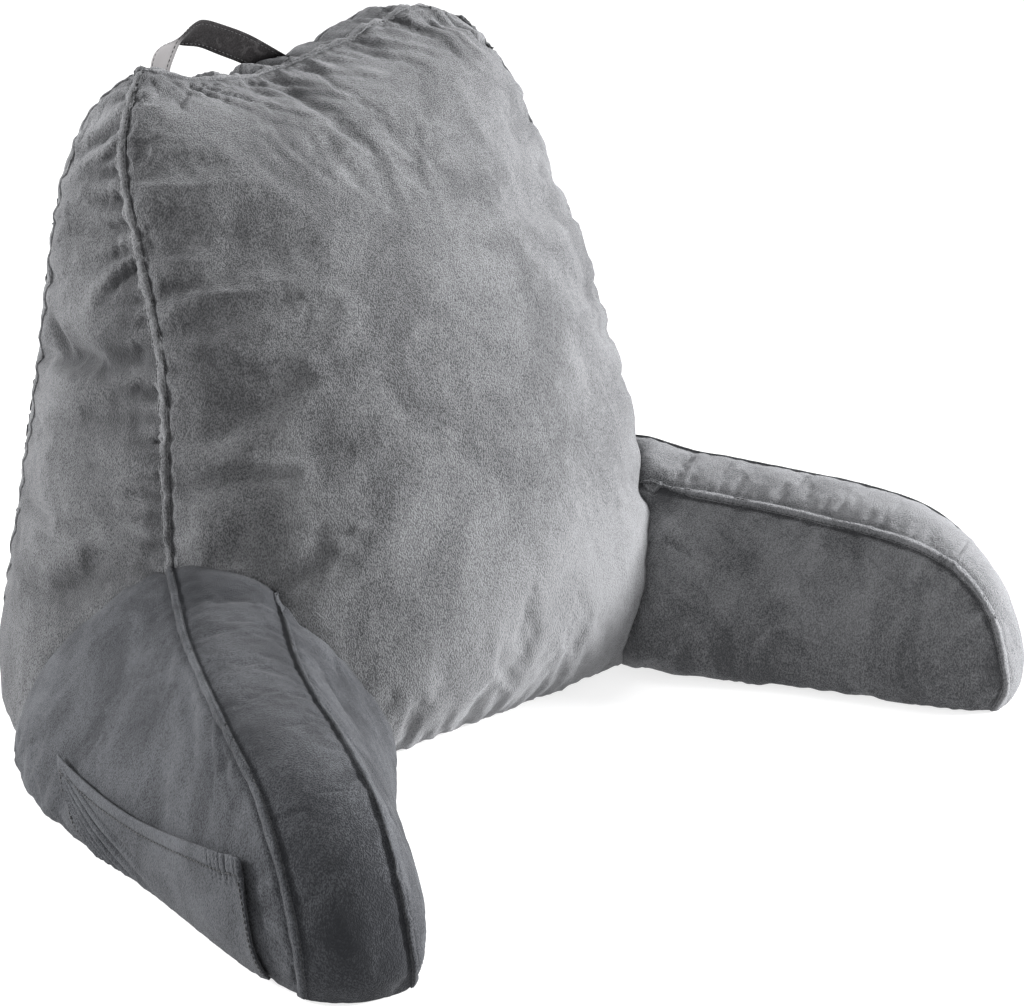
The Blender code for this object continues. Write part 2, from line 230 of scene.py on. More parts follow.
BACKREST_FOLDS = [Fold(*row) for row in (
    (-0.233, 0.266, 0.296, -0.230, 0.212, 0.288, 0.022, 0.007),
    (-0.230, 0.212, 0.288, -0.208, 0.160, 0.302, 0.020, 0.004),
    (-0.272, 0.236, 0.110, -0.242, 0.152, 0.140, 0.026, 0.006),
    (-0.245, 0.250, 0.236, -0.217, 0.150, 0.258, 0.022, 0.003),
    (-0.215, 0.262, 0.370, -0.202, 0.196, 0.362, 0.022, 0.003),
    (0.232, 0.262, 0.280, 0.222, 0.190, 0.272, 0.022, 0.006),
    (0.268, 0.236, 0.120, 0.244, 0.156, 0.142, 0.026, 0.006),
    (0.212, 0.262, 0.380, 0.202, 0.200, 0.366, 0.022, 0.003),
    (0.070, 0.262, 0.512, 0.110, 0.200, 0.480, 0.020, 0.005),
    (0.108, 0.256, 0.520, 0.128, 0.216, 0.490, 0.016, 0.003),
    (0.034, 0.262, 0.500, 0.050, 0.206, 0.478, 0.018, 0.003),
    (-0.062, 0.258, 0.480, -0.040, 0.206, 0.464, 0.018, 0.003),
    (0.090, 0.330, 0.300, -0.060, 0.334, 0.250, 0.045, 0.005),
    (-0.110, 0.332, 0.190, 0.020, 0.360, 0.130, 0.040, 0.004),
)]
ARM_FOLDS = [Fold(*row) for row in (
    (0.178, 0.052, 0.156, 0.200, 0.020, 0.118, 0.020, 0.004),
    (0.203, 0.050, 0.158, 0.236, 0.050, 0.156, 0.016, 0.003),
    (0.182, -0.004, 0.102, 0.208, -0.058, 0.086, 0.020, 0.003),
    (0.345, 0.120, 0.020, 0.330, 0.060, 0.080, 0.022, 0.004),
    (0.350, -0.060, 0.018, 0.345, -0.020, 0.090, 0.020, 0.003),
)]

# Sharper creases of the cover, which only the dressed cushions carry.
BACKREST_CREASES = [Fold(*row) for row in (
    (-0.228, 0.274, 0.311, -0.235, 0.251, 0.288, 0.008, 0.007),
    (-0.235, 0.251, 0.288, -0.227, 0.203, 0.289, 0.007, 0.006),
    (-0.272, 0.232, 0.114, -0.259, 0.192, 0.127, 0.008, 0.003),
    (-0.259, 0.192, 0.127, -0.244, 0.156, 0.138, 0.007, 0.002),
    (-0.245, 0.245, 0.238, -0.236, 0.201, 0.247, 0.007, 0.002),
    (-0.236, 0.201, 0.247, -0.217, 0.148, 0.260, 0.006, 0.002),
    (0.076, 0.256, 0.511, 0.103, 0.208, 0.490, 0.006, 0.004),
    (0.092, 0.257, 0.515, 0.110, 0.197, 0.479, 0.006, 0.004),
    (0.020, 0.262, 0.495, 0.060, 0.190, 0.452, 0.005, 0.0025),
    (-0.122, 0.243, 0.481, -0.097, 0.218, 0.467, 0.006, 0.003),
    (-0.090, 0.250, 0.478, -0.040, 0.184, 0.440, 0.005, 0.0025),
    (-0.055, 0.259, 0.479, -0.021, 0.187, 0.440, 0.005, 0.003),
    (-0.028, 0.251, 0.481, 0.006, 0.181, 0.436, 0.005, 0.0025),
    (0.009, 0.266, 0.490, 0.032, 0.190, 0.450, 0.005, 0.0025),
    (0.038, 0.259, 0.499, 0.070, 0.198, 0.466, 0.005, 0.003),
    (-0.186, 0.240, 0.474, -0.200, 0.262, 0.460, 0.011, 0.009),
    (0.182, 0.171, 0.393, 0.150, 0.140, 0.392, 0.007, 0.003),
    (0.205, 0.157, 0.316, 0.160, 0.096, 0.294, 0.007, 0.003),
    (0.210, 0.140, 0.276, 0.160, 0.082, 0.263, 0.007, 0.003),
)]
ARM_CREASES = [Fold(*row) for row in (
    (0.200, -0.009, 0.117, 0.206, -0.055, 0.089, 0.006, 0.002),
    (0.168, 0.018, 0.106, 0.182, -0.018, 0.092, 0.006, 0.002),
    (0.215, 0.054, 0.160, 0.240, 0.053, 0.158, 0.006, 0.003),
    (0.176, 0.055, 0.157, 0.188, 0.038, 0.136, 0.006, 0.003),
    (0.290, -0.196, 0.110, 0.262, -0.176, 0.062, 0.004, -0.0030),
    (0.296, -0.218, 0.086, 0.270, -0.188, 0.048, 0.004, -0.0034),
    (0.297, -0.222, 0.078, 0.275, -0.196, 0.040, 0.005, 0.0022),
    (0.284, -0.170, 0.120, 0.252, -0.150, 0.070, 0.005, -0.0024),
    (0.299, -0.234, 0.050, 0.276, -0.206, 0.026, 0.004, -0.0026),
)]


class Mouth(NamedTuple):
    """One place on the pocket: where its mouth and its foot lie along the arm's outer panel."""

    along: float
    foot_along: float
    rise: float


POCKET_MOUTH = [Mouth(*row) for row in (
    (0.31, 0.50, 0.345), (0.40, 0.55, 0.350), (0.48, 0.60, 0.365),
    (0.56, 0.66, 0.390), (0.64, 0.72, 0.445), (0.72, 0.79, 0.510),
    (0.79, 0.86, 0.565), (0.86, 0.92, 0.630),
)]

# Small tools for numbers and meshes.


def smoothstep(low: float, high: float, value: np.ndarray | float) -> np.ndarray:
    """Zero below low, one above high, and a soft step between them."""
    share = np.clip((np.asarray(value, dtype=float) - low) / (high - low), 0.0, 1.0)
    return share * share * (3.0 - 2.0 * share)


def read_table(rows: Sequence[Sequence[float]], share: np.ndarray) -> np.ndarray:
    """Read a table's columns at shares of its length, on a smooth curve through its rows.

    Args:
        rows: The table, one row after the other.
        share: Where to read, from 0 at the first row to 1 at the last.

    Returns:
        One line of columns for each share.
    """
    table = np.asarray(rows, dtype=float)
    place = np.clip(np.asarray(share, dtype=float), 0.0, 1.0) * (len(table) - 1)
    index = np.minimum(place.astype(int), len(table) - 2)
    t = (place - index)[..., None]
    before, start = table[np.maximum(index - 1, 0)], table[index]
    end, after = table[index + 1], table[np.minimum(index + 2, len(table) - 1)]
    slope_in, slope_out = (end - before) / 2.0, (after - start) / 2.0
    return (
        (2 * t**3 - 3 * t**2 + 1) * start + (t**3 - 2 * t**2 + t) * slope_in
        + (3 * t**2 - 2 * t**3) * end + (t**3 - t**2) * slope_out
    )


def placed(points: np.ndarray) -> np.ndarray:
    """Move points of the tables to where the centred pillow has them."""
    return points + np.array((CENTRE_X, CENTRE_Y, 0.0))


def unit(vectors: np.ndarray) -> np.ndarray:
    """Scale each vector to a length of one."""
    return vectors / np.maximum(np.linalg.norm(vectors, axis=-1, keepdims=True), 1e-12)


def fold_depth(points: np.ndarray, folds: Sequence[Fold], end_share: float = 0.4) -> np.ndarray:
    """Measure how far the folds around them draw points in.

    Args:
        points: The points, one a line.
        folds: The folds, in the tables' own place.
        end_share: Share of its depth that a fold has left at its ends.

    Returns:
        A depth for each point.
    """
    depth = np.zeros(len(points))
    for fold in folds:
        start = placed(np.array(fold[0:3]))
        run = placed(np.array(fold[3:6])) - start
        share = np.clip((points - start) @ run / (run @ run), 0.0, 1.0)
        away = np.linalg.norm(points - start - share[:, None] * run, axis=1) / fold.width
        fullness = end_share + (1.0 - end_share) * np.sin(np.pi * share)
        depth += fold.depth * np.exp(-2.0 * away * away) * fullness
    return depth


def points_of(mesh: bpy.types.Mesh) -> np.ndarray:
    """Read the places of a mesh's vertices, one a line."""
    flat = np.empty(len(mesh.vertices) * 3)
    mesh.vertices.foreach_get("co", flat)
    return flat.reshape(-1, 3)


def normals_of(mesh: bpy.types.Mesh) -> np.ndarray:
    """Read the normals of a mesh's vertices, one a line."""
    flat = np.empty(len(mesh.vertices) * 3)
    mesh.vertex_normals.foreach_get("vector", flat)
    return flat.reshape(-1, 3)


def move_points(mesh: bpy.types.Mesh, points: np.ndarray) -> None:
    """Put a mesh's vertices at new places."""
    mesh.vertices.foreach_set("co", points.ravel())
    mesh.update()


def linked(name: str, data: bpy.types.ID) -> bpy.types.Object:
    """Put a mesh, lamp or camera into the scene, at the origin."""
    thing = bpy.data.objects.new(name, data)
    bpy.context.scene.collection.objects.link(thing)
    return thing


def new_object(name: str, shape: bmesh.types.BMesh) -> bpy.types.Object:
    """Turn a bmesh into a smooth object at the origin, and free the bmesh."""
    mesh = bpy.data.meshes.new(name)
    shape.to_mesh(mesh)
    shape.free()
    mesh.shade_smooth()
    return linked(name, mesh)


def paint_light_and_shade(piece: bpy.types.Object, nap: np.ndarray) -> None:
    """Store the painted light (above 0) and the painted shade (below 0) at each vertex."""
    layers = piece.data.attributes
    layer = layers[PAINTED_LIGHT_AND_SHADE] if PAINTED_LIGHT_AND_SHADE in layers else layers.new(PAINTED_LIGHT_AND_SHADE, "FLOAT", "POINT")
    layer.data.foreach_set("value", np.clip(nap, -1.0, 1.0).astype(np.float32))


def finished(piece: bpy.types.Object, material: bpy.types.Material) -> bpy.types.Object:
    """Give a piece its material and its slot, and let it ride on the pillow."""
    if PAINTED_LIGHT_AND_SHADE not in piece.data.attributes:
        paint_light_and_shade(piece, np.zeros(len(piece.data.vertices)))
    piece.data.materials.clear()
    piece.data.materials.append(material)
    piece.data.polygons.foreach_set("material_index", [0] * len(piece.data.polygons))
    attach(piece, "root")
    return piece


def applied(piece: bpy.types.Object) -> None:
    """Replace a piece's mesh by what its modifiers make of it."""
    graph = bpy.context.evaluated_depsgraph_get()
    mesh = bpy.data.meshes.new_from_object(piece.evaluated_get(graph))
    piece.modifiers.clear()
    piece.data = mesh


def fit_against(piece: bpy.types.Object, back: bpy.types.Object, to_floor: bool = False) -> None:
    """Cut away what of a piece lies inside the back cushion.

    Args:
        piece: The piece that is sewn to the back cushion.
        back: The back cushion.
        to_floor: True where the cut runs on through the underside.
    """
    cutter = linked("seat_cutter", back.data.copy())
    points = points_of(cutter.data) + normals_of(cutter.data) * SEAT_GAP
    if to_floor:
        points[:, 2] = np.where(points[:, 2] < NEAR_ZERO, BELOW_FLOOR, points[:, 2])
    move_points(cutter.data, points)
    cut = piece.modifiers.new("Seat", "BOOLEAN")
    cut.operation, cut.object, cut.solver = "DIFFERENCE", cutter, "MANIFOLD"
    applied(piece)
    bpy.data.objects.remove(cutter, do_unlink=True)
    piece.data.shade_smooth()


def skin_of(piece: bpy.types.Object) -> BVHTree:
    """Search tree over a piece's surface."""
    shape = bmesh.new()
    shape.from_mesh(piece.data)
    tree = BVHTree.FromBMesh(shape)
    shape.free()
    return tree


def cube_shell(cells: tuple[int, int, int]) -> bmesh.types.BMesh:
    """Join six grids into a closed cube from -1 to 1.

    Args:
        cells: The number of faces along each axis.

    Returns:
        The shell as a bmesh.
    """
    cube = bmesh.new()
    lift = Matrix.Translation((0.0, 0.0, 1.0))
    for axis, turn, across, along in (
        ("X", 0.0, 0, 1), ("X", math.pi, 0, 1),
        ("X", 0.5 * math.pi, 0, 2), ("X", -0.5 * math.pi, 0, 2),
        ("Y", 0.5 * math.pi, 2, 1), ("Y", -0.5 * math.pi, 2, 1),
    ):
        bmesh.ops.create_grid(
            cube, x_segments=cells[across], y_segments=cells[along], size=1.0,
            matrix=Matrix.Rotation(turn, 4, axis) @ lift,
        )
    bmesh.ops.remove_doubles(cube, verts=cube.verts, dist=1e-5)
    for vert in cube.verts:
        vert.co = [round(part, 6) for part in vert.co]
    return cube


# Finishes.


class NodeBench:
    """The nodes of one tree, with short ways to add and join them."""

    def __init__(self, tree: bpy.types.NodeTree) -> None:
        """Keep the tree's nodes and links."""
        self.nodes, self.links = tree.nodes, tree.links

    def feed(self, node: bpy.types.Node, inputs: dict) -> None:
        """Set a node's inputs, or join them to what feeds them.

        Args:
            node: The node.
            inputs: For each input, by its name or number, a value or an output of another node.
        """
        for name, value in inputs.items():
            if isinstance(value, bpy.types.NodeSocket):
                self.links.new(value, node.inputs[name])
            else:
                node.inputs[name].default_value = value

    def add(self, kind: str, inputs: dict) -> bpy.types.Node:
        """Add a shader node of a kind, with its inputs set or joined."""
        node = self.nodes.new("ShaderNode" + kind)
        self.feed(node, inputs)
        return node

    def sum(self, first: bpy.types.NodeSocket, share: float | bpy.types.NodeSocket,
            rest: float | bpy.types.NodeSocket) -> bpy.types.NodeSocket:
        """Add a share of one value to another."""
        node = self.nodes.new("ShaderNodeMath")
        node.operation = "MULTIPLY_ADD"
        self.feed(node, {0: first, 1: share, 2: rest})
        return node.outputs[0]

    def product(self, first: bpy.types.NodeSocket,
                second: float | bpy.types.NodeSocket) -> bpy.types.NodeSocket:
        """Multiply two values."""
        node = self.nodes.new("ShaderNodeMath")
        node.operation = "MULTIPLY"
        self.feed(node, {0: first, 1: second})
        return node.outputs[0]

    def mix(self, share: bpy.types.NodeSocket, first: object, second: object) -> bpy.types.NodeSocket:
        """Blend two colours."""
        node = self.nodes.new("ShaderNodeMix")
        node.data_type = "RGBA"
        self.feed(node, {"Factor": share, "A": first, "B": second})
        return node.outputs["Result"]

    def spots(self, turn: tuple, stretch: tuple, scale: float, detail: float, rough: float, bend: float,
              low: float, high: float) -> bpy.types.NodeSocket:
        """Add a noise on the object's own coordinates, with its contrast drawn out.

        Args:
            turn: How the noise is turned.
            stretch: How it is stretched along each axis.
            scale: How fine it is.
            detail: How many finer layers it has.
            rough: How strong those are.
            bend: How far it is distorted.
            low: The value that becomes -0.5.
            high: The value that becomes 0.5.

        Returns:
            The output with the noise.
        """
        coords = self.add("TexCoord", {})
        mapping = self.add("Mapping", {"Rotation": turn, "Scale": stretch,
                                       "Vector": coords.outputs["Object"]})
        texture = self.add("TexNoise", {"Scale": scale, "Detail": detail, "Roughness": rough,
                                        "Distortion": bend, "Vector": mapping.outputs["Vector"]})
        ranged = self.add("MapRange", {"From Min": low, "From Max": high, "To Min": -0.5, "To Max": 0.5,
                                       "Value": texture.outputs["Fac"]})
        ranged.interpolation_type = "SMOOTHSTEP"
        return ranged.outputs["Result"]


def new_material(name: str) -> tuple[bpy.types.Material, NodeBench, bpy.types.Node]:
    """Make a material, and hand it out with its bench and its shader."""
    material = bpy.data.materials.new(name)
    material.use_nodes = True
    return material, NodeBench(material.node_tree), material.node_tree.nodes["Principled BSDF"]


class PileGroup:
    """Node group of brushed short pile: its mottled colour, its fine grain, its marks and the painted
    light and shade stored on each piece.
    """

    NAME = "brushed_pile"

    @classmethod
    def tree(cls) -> bpy.types.NodeTree:
        """Build the group once, and hand out the same one afterwards.

        Returns:
            The node group.
        """
        if cls.NAME in bpy.data.node_groups:
            return bpy.data.node_groups[cls.NAME]
        tree = bpy.data.node_groups.new(cls.NAME, "ShaderNodeTree")
        for name, kind, way in (
            ("Deep", "Color", "INPUT"), ("Raised", "Color", "INPUT"), ("Grain", "Float", "INPUT"),
            ("Mottle", "Float", "INPUT"), ("Color", "Color", "OUTPUT"), ("Height", "Float", "OUTPUT"),
            ("Roughness", "Float", "OUTPUT"),
        ):
            tree.interface.new_socket(name=name, in_out=way, socket_type="NodeSocket" + kind)
        bench = NodeBench(tree)
        given, out = tree.nodes.new("NodeGroupInput").outputs, tree.nodes.new("NodeGroupOutput")
        # Pile that leans one way in streaks one to two millimetres long.
        grain = bench.spots((0.5, 0.6, 0.4), (1.0, 1.0, 0.55), 1150.0, 2.0, 0.55, 0.0, 0.34, 0.66)
        tufts = bench.spots((0.2, 0.1, 0.9), (1.0, 1.0, 0.6), 330.0, 3.0, 0.6, 0.4, 0.34, 0.66)
        # Patches where a hand has brushed the nap the other way.
        brushed_and_painted_shade = bench.spots((0.3, 0.2, 0.5), (1.0, 1.0, 0.55), 15.0, 5.0, 0.62, 1.2, 0.34, 0.66)
        clouds = bench.spots((0.0, 0.0, 0.0), (1.0, 1.0, 1.0), 5.0, 2.0, 0.5, 0.0, 0.3, 0.7)
        # Short pressed marks, like the veins of a leaf.
        marks = bench.spots((0.7, 0.3, 0.2), (1.0, 0.5, 1.4), 70.0, 3.0, 0.6, 1.8, 0.50, 0.70)
        # Painted light and shade stored on each piece, which lightens or darkens the pile's colour.
        lean = bench.add("Attribute", {})
        lean.attribute_name = PAINTED_LIGHT_AND_SHADE
        fine = bench.product(bench.sum(tufts, 0.18, grain), given["Grain"])
        broad = bench.product(bench.sum(clouds, 0.6, bench.product(brushed_and_painted_shade, 0.8)), given["Mottle"])
        shade = bench.sum(broad, 0.6, bench.sum(fine, 0.68, 0.5))
        shade = bench.sum(lean.outputs["Fac"], 0.60, bench.sum(marks, 0.10, shade))
        bench.feed(out, {
            "Color": bench.mix(shade, given["Deep"], given["Raised"]),
            "Height": bench.sum(brushed_and_painted_shade, 0.3, bench.sum(marks, 0.25, fine)),
            "Roughness": bench.sum(broad, -0.1, 0.86),
        })
        return tree


@dataclass(frozen=True)
class Plush:
    """Short velour pile of one colour, with a pale bloom where it is seen edge on."""

    name: str
    deep: tuple[float, float, float, float]
    raised: tuple[float, float, float, float]
    grain: float = 1.0
    mottle: float = 1.0
    bump_height: float = 0.0004
    sheen: float = 0.30
    sheen_roughness: float = 0.42
    sheen_tint: tuple[float, float, float, float] = (0.80, 0.81, 0.84, 1.0)

    def material(self) -> bpy.types.Material:
        """Build the material, or hand out the one already built.

        Returns:
            The material.
        """
        if self.name in bpy.data.materials:
            return bpy.data.materials[self.name]
        material, bench, shader = new_material(self.name)
        pile = bench.add("Group", {})
        pile.node_tree = PileGroup.tree()
        bench.feed(pile, {"Deep": self.deep, "Raised": self.raised,
                          "Grain": self.grain, "Mottle": self.mottle})
        bump = bench.add("Bump", {"Strength": 1.0, "Distance": self.bump_height,
                                  "Height": pile.outputs["Height"]})
        bench.feed(shader, {
            "Base Color": pile.outputs["Color"], "Roughness": pile.outputs["Roughness"],
            "Normal": bump.outputs["Normal"], "Specular IOR Level": 0.15, "Sheen Weight": self.sheen,
            "Sheen Roughness": self.sheen_roughness, "Sheen Tint": self.sheen_tint,
        })
        return material


@dataclass(frozen=True)
class Thread:
    """Spun polyester sewing thread: two plies that show as a fine diagonal."""

    name: str
    colour: tuple[float, float, float, float]
    plies_per_metre: float = 1400.0

    def material(self) -> bpy.types.Material:
        """Build the material, or hand out the one already built.

        Returns:
            The material.
        """
        if self.name in bpy.data.materials:
            return bpy.data.materials[self.name]
        material, bench, shader = new_material(self.name)
        coords = bench.add("TexCoord", {})
        plies = bench.add("TexWave", {"Scale": self.plies_per_metre / (2.0 * math.pi),
                                      "Vector": coords.outputs["Object"]})
        plies.bands_direction = "DIAGONAL"
        shadow = tuple(0.6 * part for part in self.colour[:3]) + (1.0,)
        bump = bench.add("Bump", {"Distance": 0.0001, "Height": plies.outputs["Fac"]})
        bench.feed(shader, {"Base Color": bench.mix(plies.outputs["Fac"], shadow, self.colour),
                            "Normal": bump.outputs["Normal"], "Roughness": 0.6})
        return material


BACK_PLUSH = Plush("back_plush", (0.040, 0.0405, 0.043, 1.0), (0.158, 0.160, 0.166, 1.0), mottle=0.75)
# The near arm's plush is the far arm's cloth, darker and with less sheen as painted shade.
SHADED_NEAR_PLUSH = Plush("near_arm_plush", (0.018, 0.019, 0.022, 1.0), (0.070, 0.073, 0.080, 1.0), sheen=0.10)
FAR_PLUSH = Plush("far_arm_plush", (0.042, 0.043, 0.046, 1.0), (0.160, 0.162, 0.169, 1.0))
# The strap's deep and raised colours span painted shade on its run to painted light on its left leg.
STRAP_PLUSH = Plush("strap_plush", (0.008, 0.007, 0.0075, 1.0), (0.180, 0.174, 0.176, 1.0), grain=0.10,
                    mottle=0.05, bump_height=0.0002, sheen=0.05)
DARK_THREAD = Thread("dark_thread", (0.018, 0.0185, 0.020, 1.0))


# Cushions.


# Depths at which a fold, a gather and a seam groove get their full painted shade.
FOLD_DEPTH_AT_FULL_SHADE = 0.007
PUCKER_DEPTH_AT_FULL_SHADE = 0.0045
PINCH_DEPTH_AT_FULL_SHADE = 0.0025
GROOVE_WIDTH = 0.0026


@dataclass(frozen=True)
class Puckers:
    """Row of small gathers that a tight seam leaves in the panel beside it."""

    seed: int
    spacing: float = 0.016
    reach: float = 0.045
    depth: float = 0.0022
    width: float = 0.0045
    slant: float = 0.25
    lean: float = 0.0

    def depth_at(self, along: np.ndarray, away: np.ndarray) -> np.ndarray:
        """Measure how far the gathers draw in points near the seam.

        Args:
            along: Each point's place along the seam, in metres.
            away: Each point's distance from the seam, in metres.

        Returns:
            A depth for each point.
        """
        rng = np.random.default_rng(self.seed)
        length = float(along.max()) if len(along) else 0.0
        depth = np.zeros(len(along))
        place = 0.0
        while place < length:
            place += self.spacing * rng.uniform(0.55, 1.6)
            reach = self.reach * rng.uniform(0.5, 1.5)
            strength = self.depth * rng.uniform(0.25, 1.2)
            width = self.width * rng.uniform(0.7, 1.5)
            lean = self.lean + self.slant * rng.uniform(-1.0, 1.0)
            bend = rng.uniform(-3.0, 3.0)
            near = np.abs(along - place) < 0.03 + abs(lean) * reach
            across = along[near] - place - lean * away[near] - bend * away[near] ** 2
            spread = width * (1.0 + 12.0 * away[near])
            fade = 1.0 - smoothstep(0.15 * reach, reach, away[near])
            valley = np.exp(-((across / spread) ** 2))
            ridge = 0.45 * np.exp(-(((across - 1.8 * spread) / (1.2 * spread)) ** 2))
            depth[near] += strength * fade * (valley - ridge)
        return depth


@dataclass(frozen=True)
class Filling:
    """How a cover is blown up by its filling in the cloth simulation."""

    frames: int = 18
    pressure: float = 4.0
    slack: float = 0.035
    cap: float = 0.009
    smoothing: int = 60
    kept_swell: float = 0.20
    quality: int = 4
    mass: float = 0.25
    stretch: float = 12.0
    shear: float = 4.0
    bending: float = 0.08


@dataclass
class Cushion:
    """A filled cover: a shell on a shape, filled, drawn in at its folds and gathered at its seams."""

    name: str
    cells: tuple[int, int, int]
    shape: Callable
    filling: Filling
    plush: Plush
    cube: np.ndarray = field(default_factory=lambda: np.zeros((0, 3)))
    # Painted light (above 0) and painted shade (below 0) for each vertex.
    nap: np.ndarray = field(default_factory=lambda: np.zeros(0))
    piece: bpy.types.Object | None = None

    def build(self, folds: Sequence[Fold], creases: Sequence[Fold]) -> bpy.types.Object:
        """Build the closed shell, fill it and draw in its folds.

        Args:
            folds: The broad folds that the solids have too.
            creases: The sharper folds that only the cover has.

        Returns:
            The cushion's object.
        """
        shell = cube_shell(self.cells)
        at_cube = shell.verts.layers.float_vector.new("cube")
        at_pull = shell.verts.layers.float_vector.new("pull")
        shell.verts.ensure_lookup_table()
        cube = np.array([vert.co[:] for vert in shell.verts])
        for vert, point in zip(shell.verts, self.shape(cube)):
            vert[at_cube] = vert.co
            vert.co = point
        if shell.calc_volume(signed=True) < 0.0:
            bmesh.ops.reverse_faces(shell, faces=shell.faces)
        pull = self.fill(shell, cube)
        for vert, way in zip(shell.verts, pull):
            vert[at_pull] = way
        bmesh.ops.subdivide_edges(shell, edges=shell.edges, cuts=1, use_grid_fill=True)
        self.cube = np.clip(np.array([vert[at_cube][:] for vert in shell.verts]), -1.0, 1.0)
        pull = np.array([vert[at_pull][:] for vert in shell.verts])
        shell.verts.layers.float_vector.remove(shell.verts.layers.float_vector["cube"])
        shell.verts.layers.float_vector.remove(shell.verts.layers.float_vector["pull"])
        self.piece = new_object(self.name, shell)
        mesh = self.piece.data
        points = self.shape(self.cube)
        move_points(mesh, points)
        depth = fold_depth(points, folds) + fold_depth(points, creases, end_share=0.15)
        depth = depth * smoothstep(0.0, FLOOR_FADE, points[:, 2])
        # Painted shade in the folds and creases, and painted light on their ridges.
        self.nap = -depth / FOLD_DEPTH_AT_FULL_SHADE
        move_points(mesh, points - normals_of(mesh) * depth[:, None] + pull)
        return self.piece

    def fill(self, shell: bmesh.types.BMesh, cube: np.ndarray) -> np.ndarray:
        """Blow the cover up in a cloth simulation, with its seams and its underside held.

        Args:
            shell: The cover's shell, on its shape.
            cube: Where each of its vertices lies on the cube.

        Returns:
            How far each vertex moves: all of its wrinkling, and a share of its swelling.
        """
        mesh = bpy.data.meshes.new(self.name + "_filling")
        shell.to_mesh(mesh)
        cover = linked(mesh.name, mesh)
        held = self.is_sewn(cube) | (cube[:, 2] < -ON_EDGE)
        cover.vertex_groups.new(name="held").add([int(i) for i in np.flatnonzero(held)], 1.0, "REPLACE")
        cloth = cover.modifiers.new("Filling", "CLOTH")
        filling, fabric = self.filling, cloth.settings
        fabric.vertex_group_mass = "held"
        fabric.quality, fabric.mass = filling.quality, filling.mass
        fabric.tension_stiffness = fabric.compression_stiffness = filling.stretch
        fabric.shear_stiffness, fabric.bending_stiffness = filling.shear, filling.bending
        fabric.use_pressure, fabric.uniform_pressure_force = True, filling.pressure
        fabric.shrink_min = -filling.slack
        fabric.effector_weights.gravity = 0.0
        cloth.collision_settings.use_collision = False
        cloth.collision_settings.use_self_collision = False
        cloth.point_cache.frame_start, cloth.point_cache.frame_end = 1, filling.frames
        scene = bpy.context.scene
        for frame in range(1, self.filling.frames + 1):
            scene.frame_set(frame)
        graph = bpy.context.evaluated_depsgraph_get()
        pull = points_of(cover.evaluated_get(graph).data) - points_of(mesh)
        bpy.data.objects.remove(cover, do_unlink=True)
        scene.frame_set(1)
        edges = np.array([(edge.verts[0].index, edge.verts[1].index) for edge in shell.edges])
        swell = pull.copy()
        count = np.bincount(edges.ravel(), minlength=len(pull))[:, None]
        for _ in range(self.filling.smoothing):
            total = np.zeros_like(swell)
            np.add.at(total, edges[:, 0], swell[edges[:, 1]])
            np.add.at(total, edges[:, 1], swell[edges[:, 0]])
            swell = 0.5 * swell + 0.5 * total / count
        moved = (pull - swell) + self.filling.kept_swell * swell
        far = np.linalg.norm(moved, axis=1, keepdims=True)
        moved *= np.minimum(1.0, self.filling.cap / np.maximum(far, 1e-9))
        moved[held] = 0.0
        LOG.info("%s: the filling moves its cover by %.1f mm at most", self.name, 1000.0 * far.max())
        return moved

    def is_sewn(self, cube: np.ndarray) -> np.ndarray:
        """Say which points of the cube lie on a seam between two panels."""
        raise NotImplementedError

    def gather(self, seam: np.ndarray, rows: np.ndarray, puckers: Puckers, reach: float = 0.09,
               pinch: float = 0.0010, groove_at: float = 0.0) -> None:
        """Draw in the gathers beside one seam, and the groove that the seam makes.

        Args:
            seam: Points along the seam, close together.
            rows: Which vertices lie on the panel that is gathered.
            puckers: The row of gathers.
            reach: How far from the seam any gather may run.
            pinch: Depth of the groove along the seam.
            groove_at: How far from the seam the groove runs.
        """
        mesh = self.piece.data
        points = points_of(mesh)
        tree = KDTree(len(seam))
        for index, point in enumerate(seam):
            tree.insert(point, index)
        tree.balance()
        run = np.concatenate([[0.0], np.cumsum(np.linalg.norm(np.diff(seam, axis=0), axis=1))])
        chosen = np.flatnonzero(rows)
        found = [tree.find(points[i]) for i in chosen]
        away = np.array([hit[2] for hit in found])
        along = run[[hit[1] for hit in found]]
        near = away < reach
        chosen, away, along = chosen[near], away[near], along[near]
        groove = np.exp(-(((away - groove_at) / GROOVE_WIDTH) ** 2))
        depth = puckers.depth_at(along, away) * smoothstep(0.003, 0.010, away)
        # Painted shade in the gathers' valleys and in the seam's groove.
        self.nap[chosen] -= depth / PUCKER_DEPTH_AT_FULL_SHADE + pinch / PINCH_DEPTH_AT_FULL_SHADE * groove
        depth = (depth + pinch * groove) * smoothstep(0.0, FLOOR_FADE, points[chosen, 2])
        points[chosen] -= normals_of(mesh)[chosen] * depth[:, None]
        move_points(mesh, points)

    def ruffle(self, height: float, scale: float, hem: float = 0.0035) -> None:
        """Let the cover rise and fall a little, as loose cloth over filling does.

        Args:
            height: How far the cover rises or falls.
            scale: How many rises there are in a metre, about.
            hem: How far the edge at the floor lifts in places.
        """
        mesh = self.piece.data
        points = points_of(mesh)
        lift = np.array([noise.fractal(point * scale, 0.7, 2.2, 3) for point in map(Vector, points)])
        lift = np.clip(lift, -1.0, 1.0)
        foot = smoothstep(0.82, 1.0, np.abs(self.cube[:, 1]))
        foot = foot * (1.0 - smoothstep(-1.0, -0.85, self.cube[:, 2]))
        risen = lift * smoothstep(0.0, 0.030, points[:, 2]) * height
        points = points + normals_of(mesh) * risen[:, None]
        points[:, 2] += foot * hem * np.clip(lift + 0.3, 0.0, 1.0)
        move_points(mesh, points)


FRONT_ROUNDNESS = 0.62
FLOOR_ROUNDNESS = 0.45
BACK_ROUNDNESS = 0.60
TOP_BELLY = 0.007
STRIP_CROWN = 0.009
OUTER_SWELL = (0.018, 0.034)
INNER_SWELL = (-0.020, -0.014)


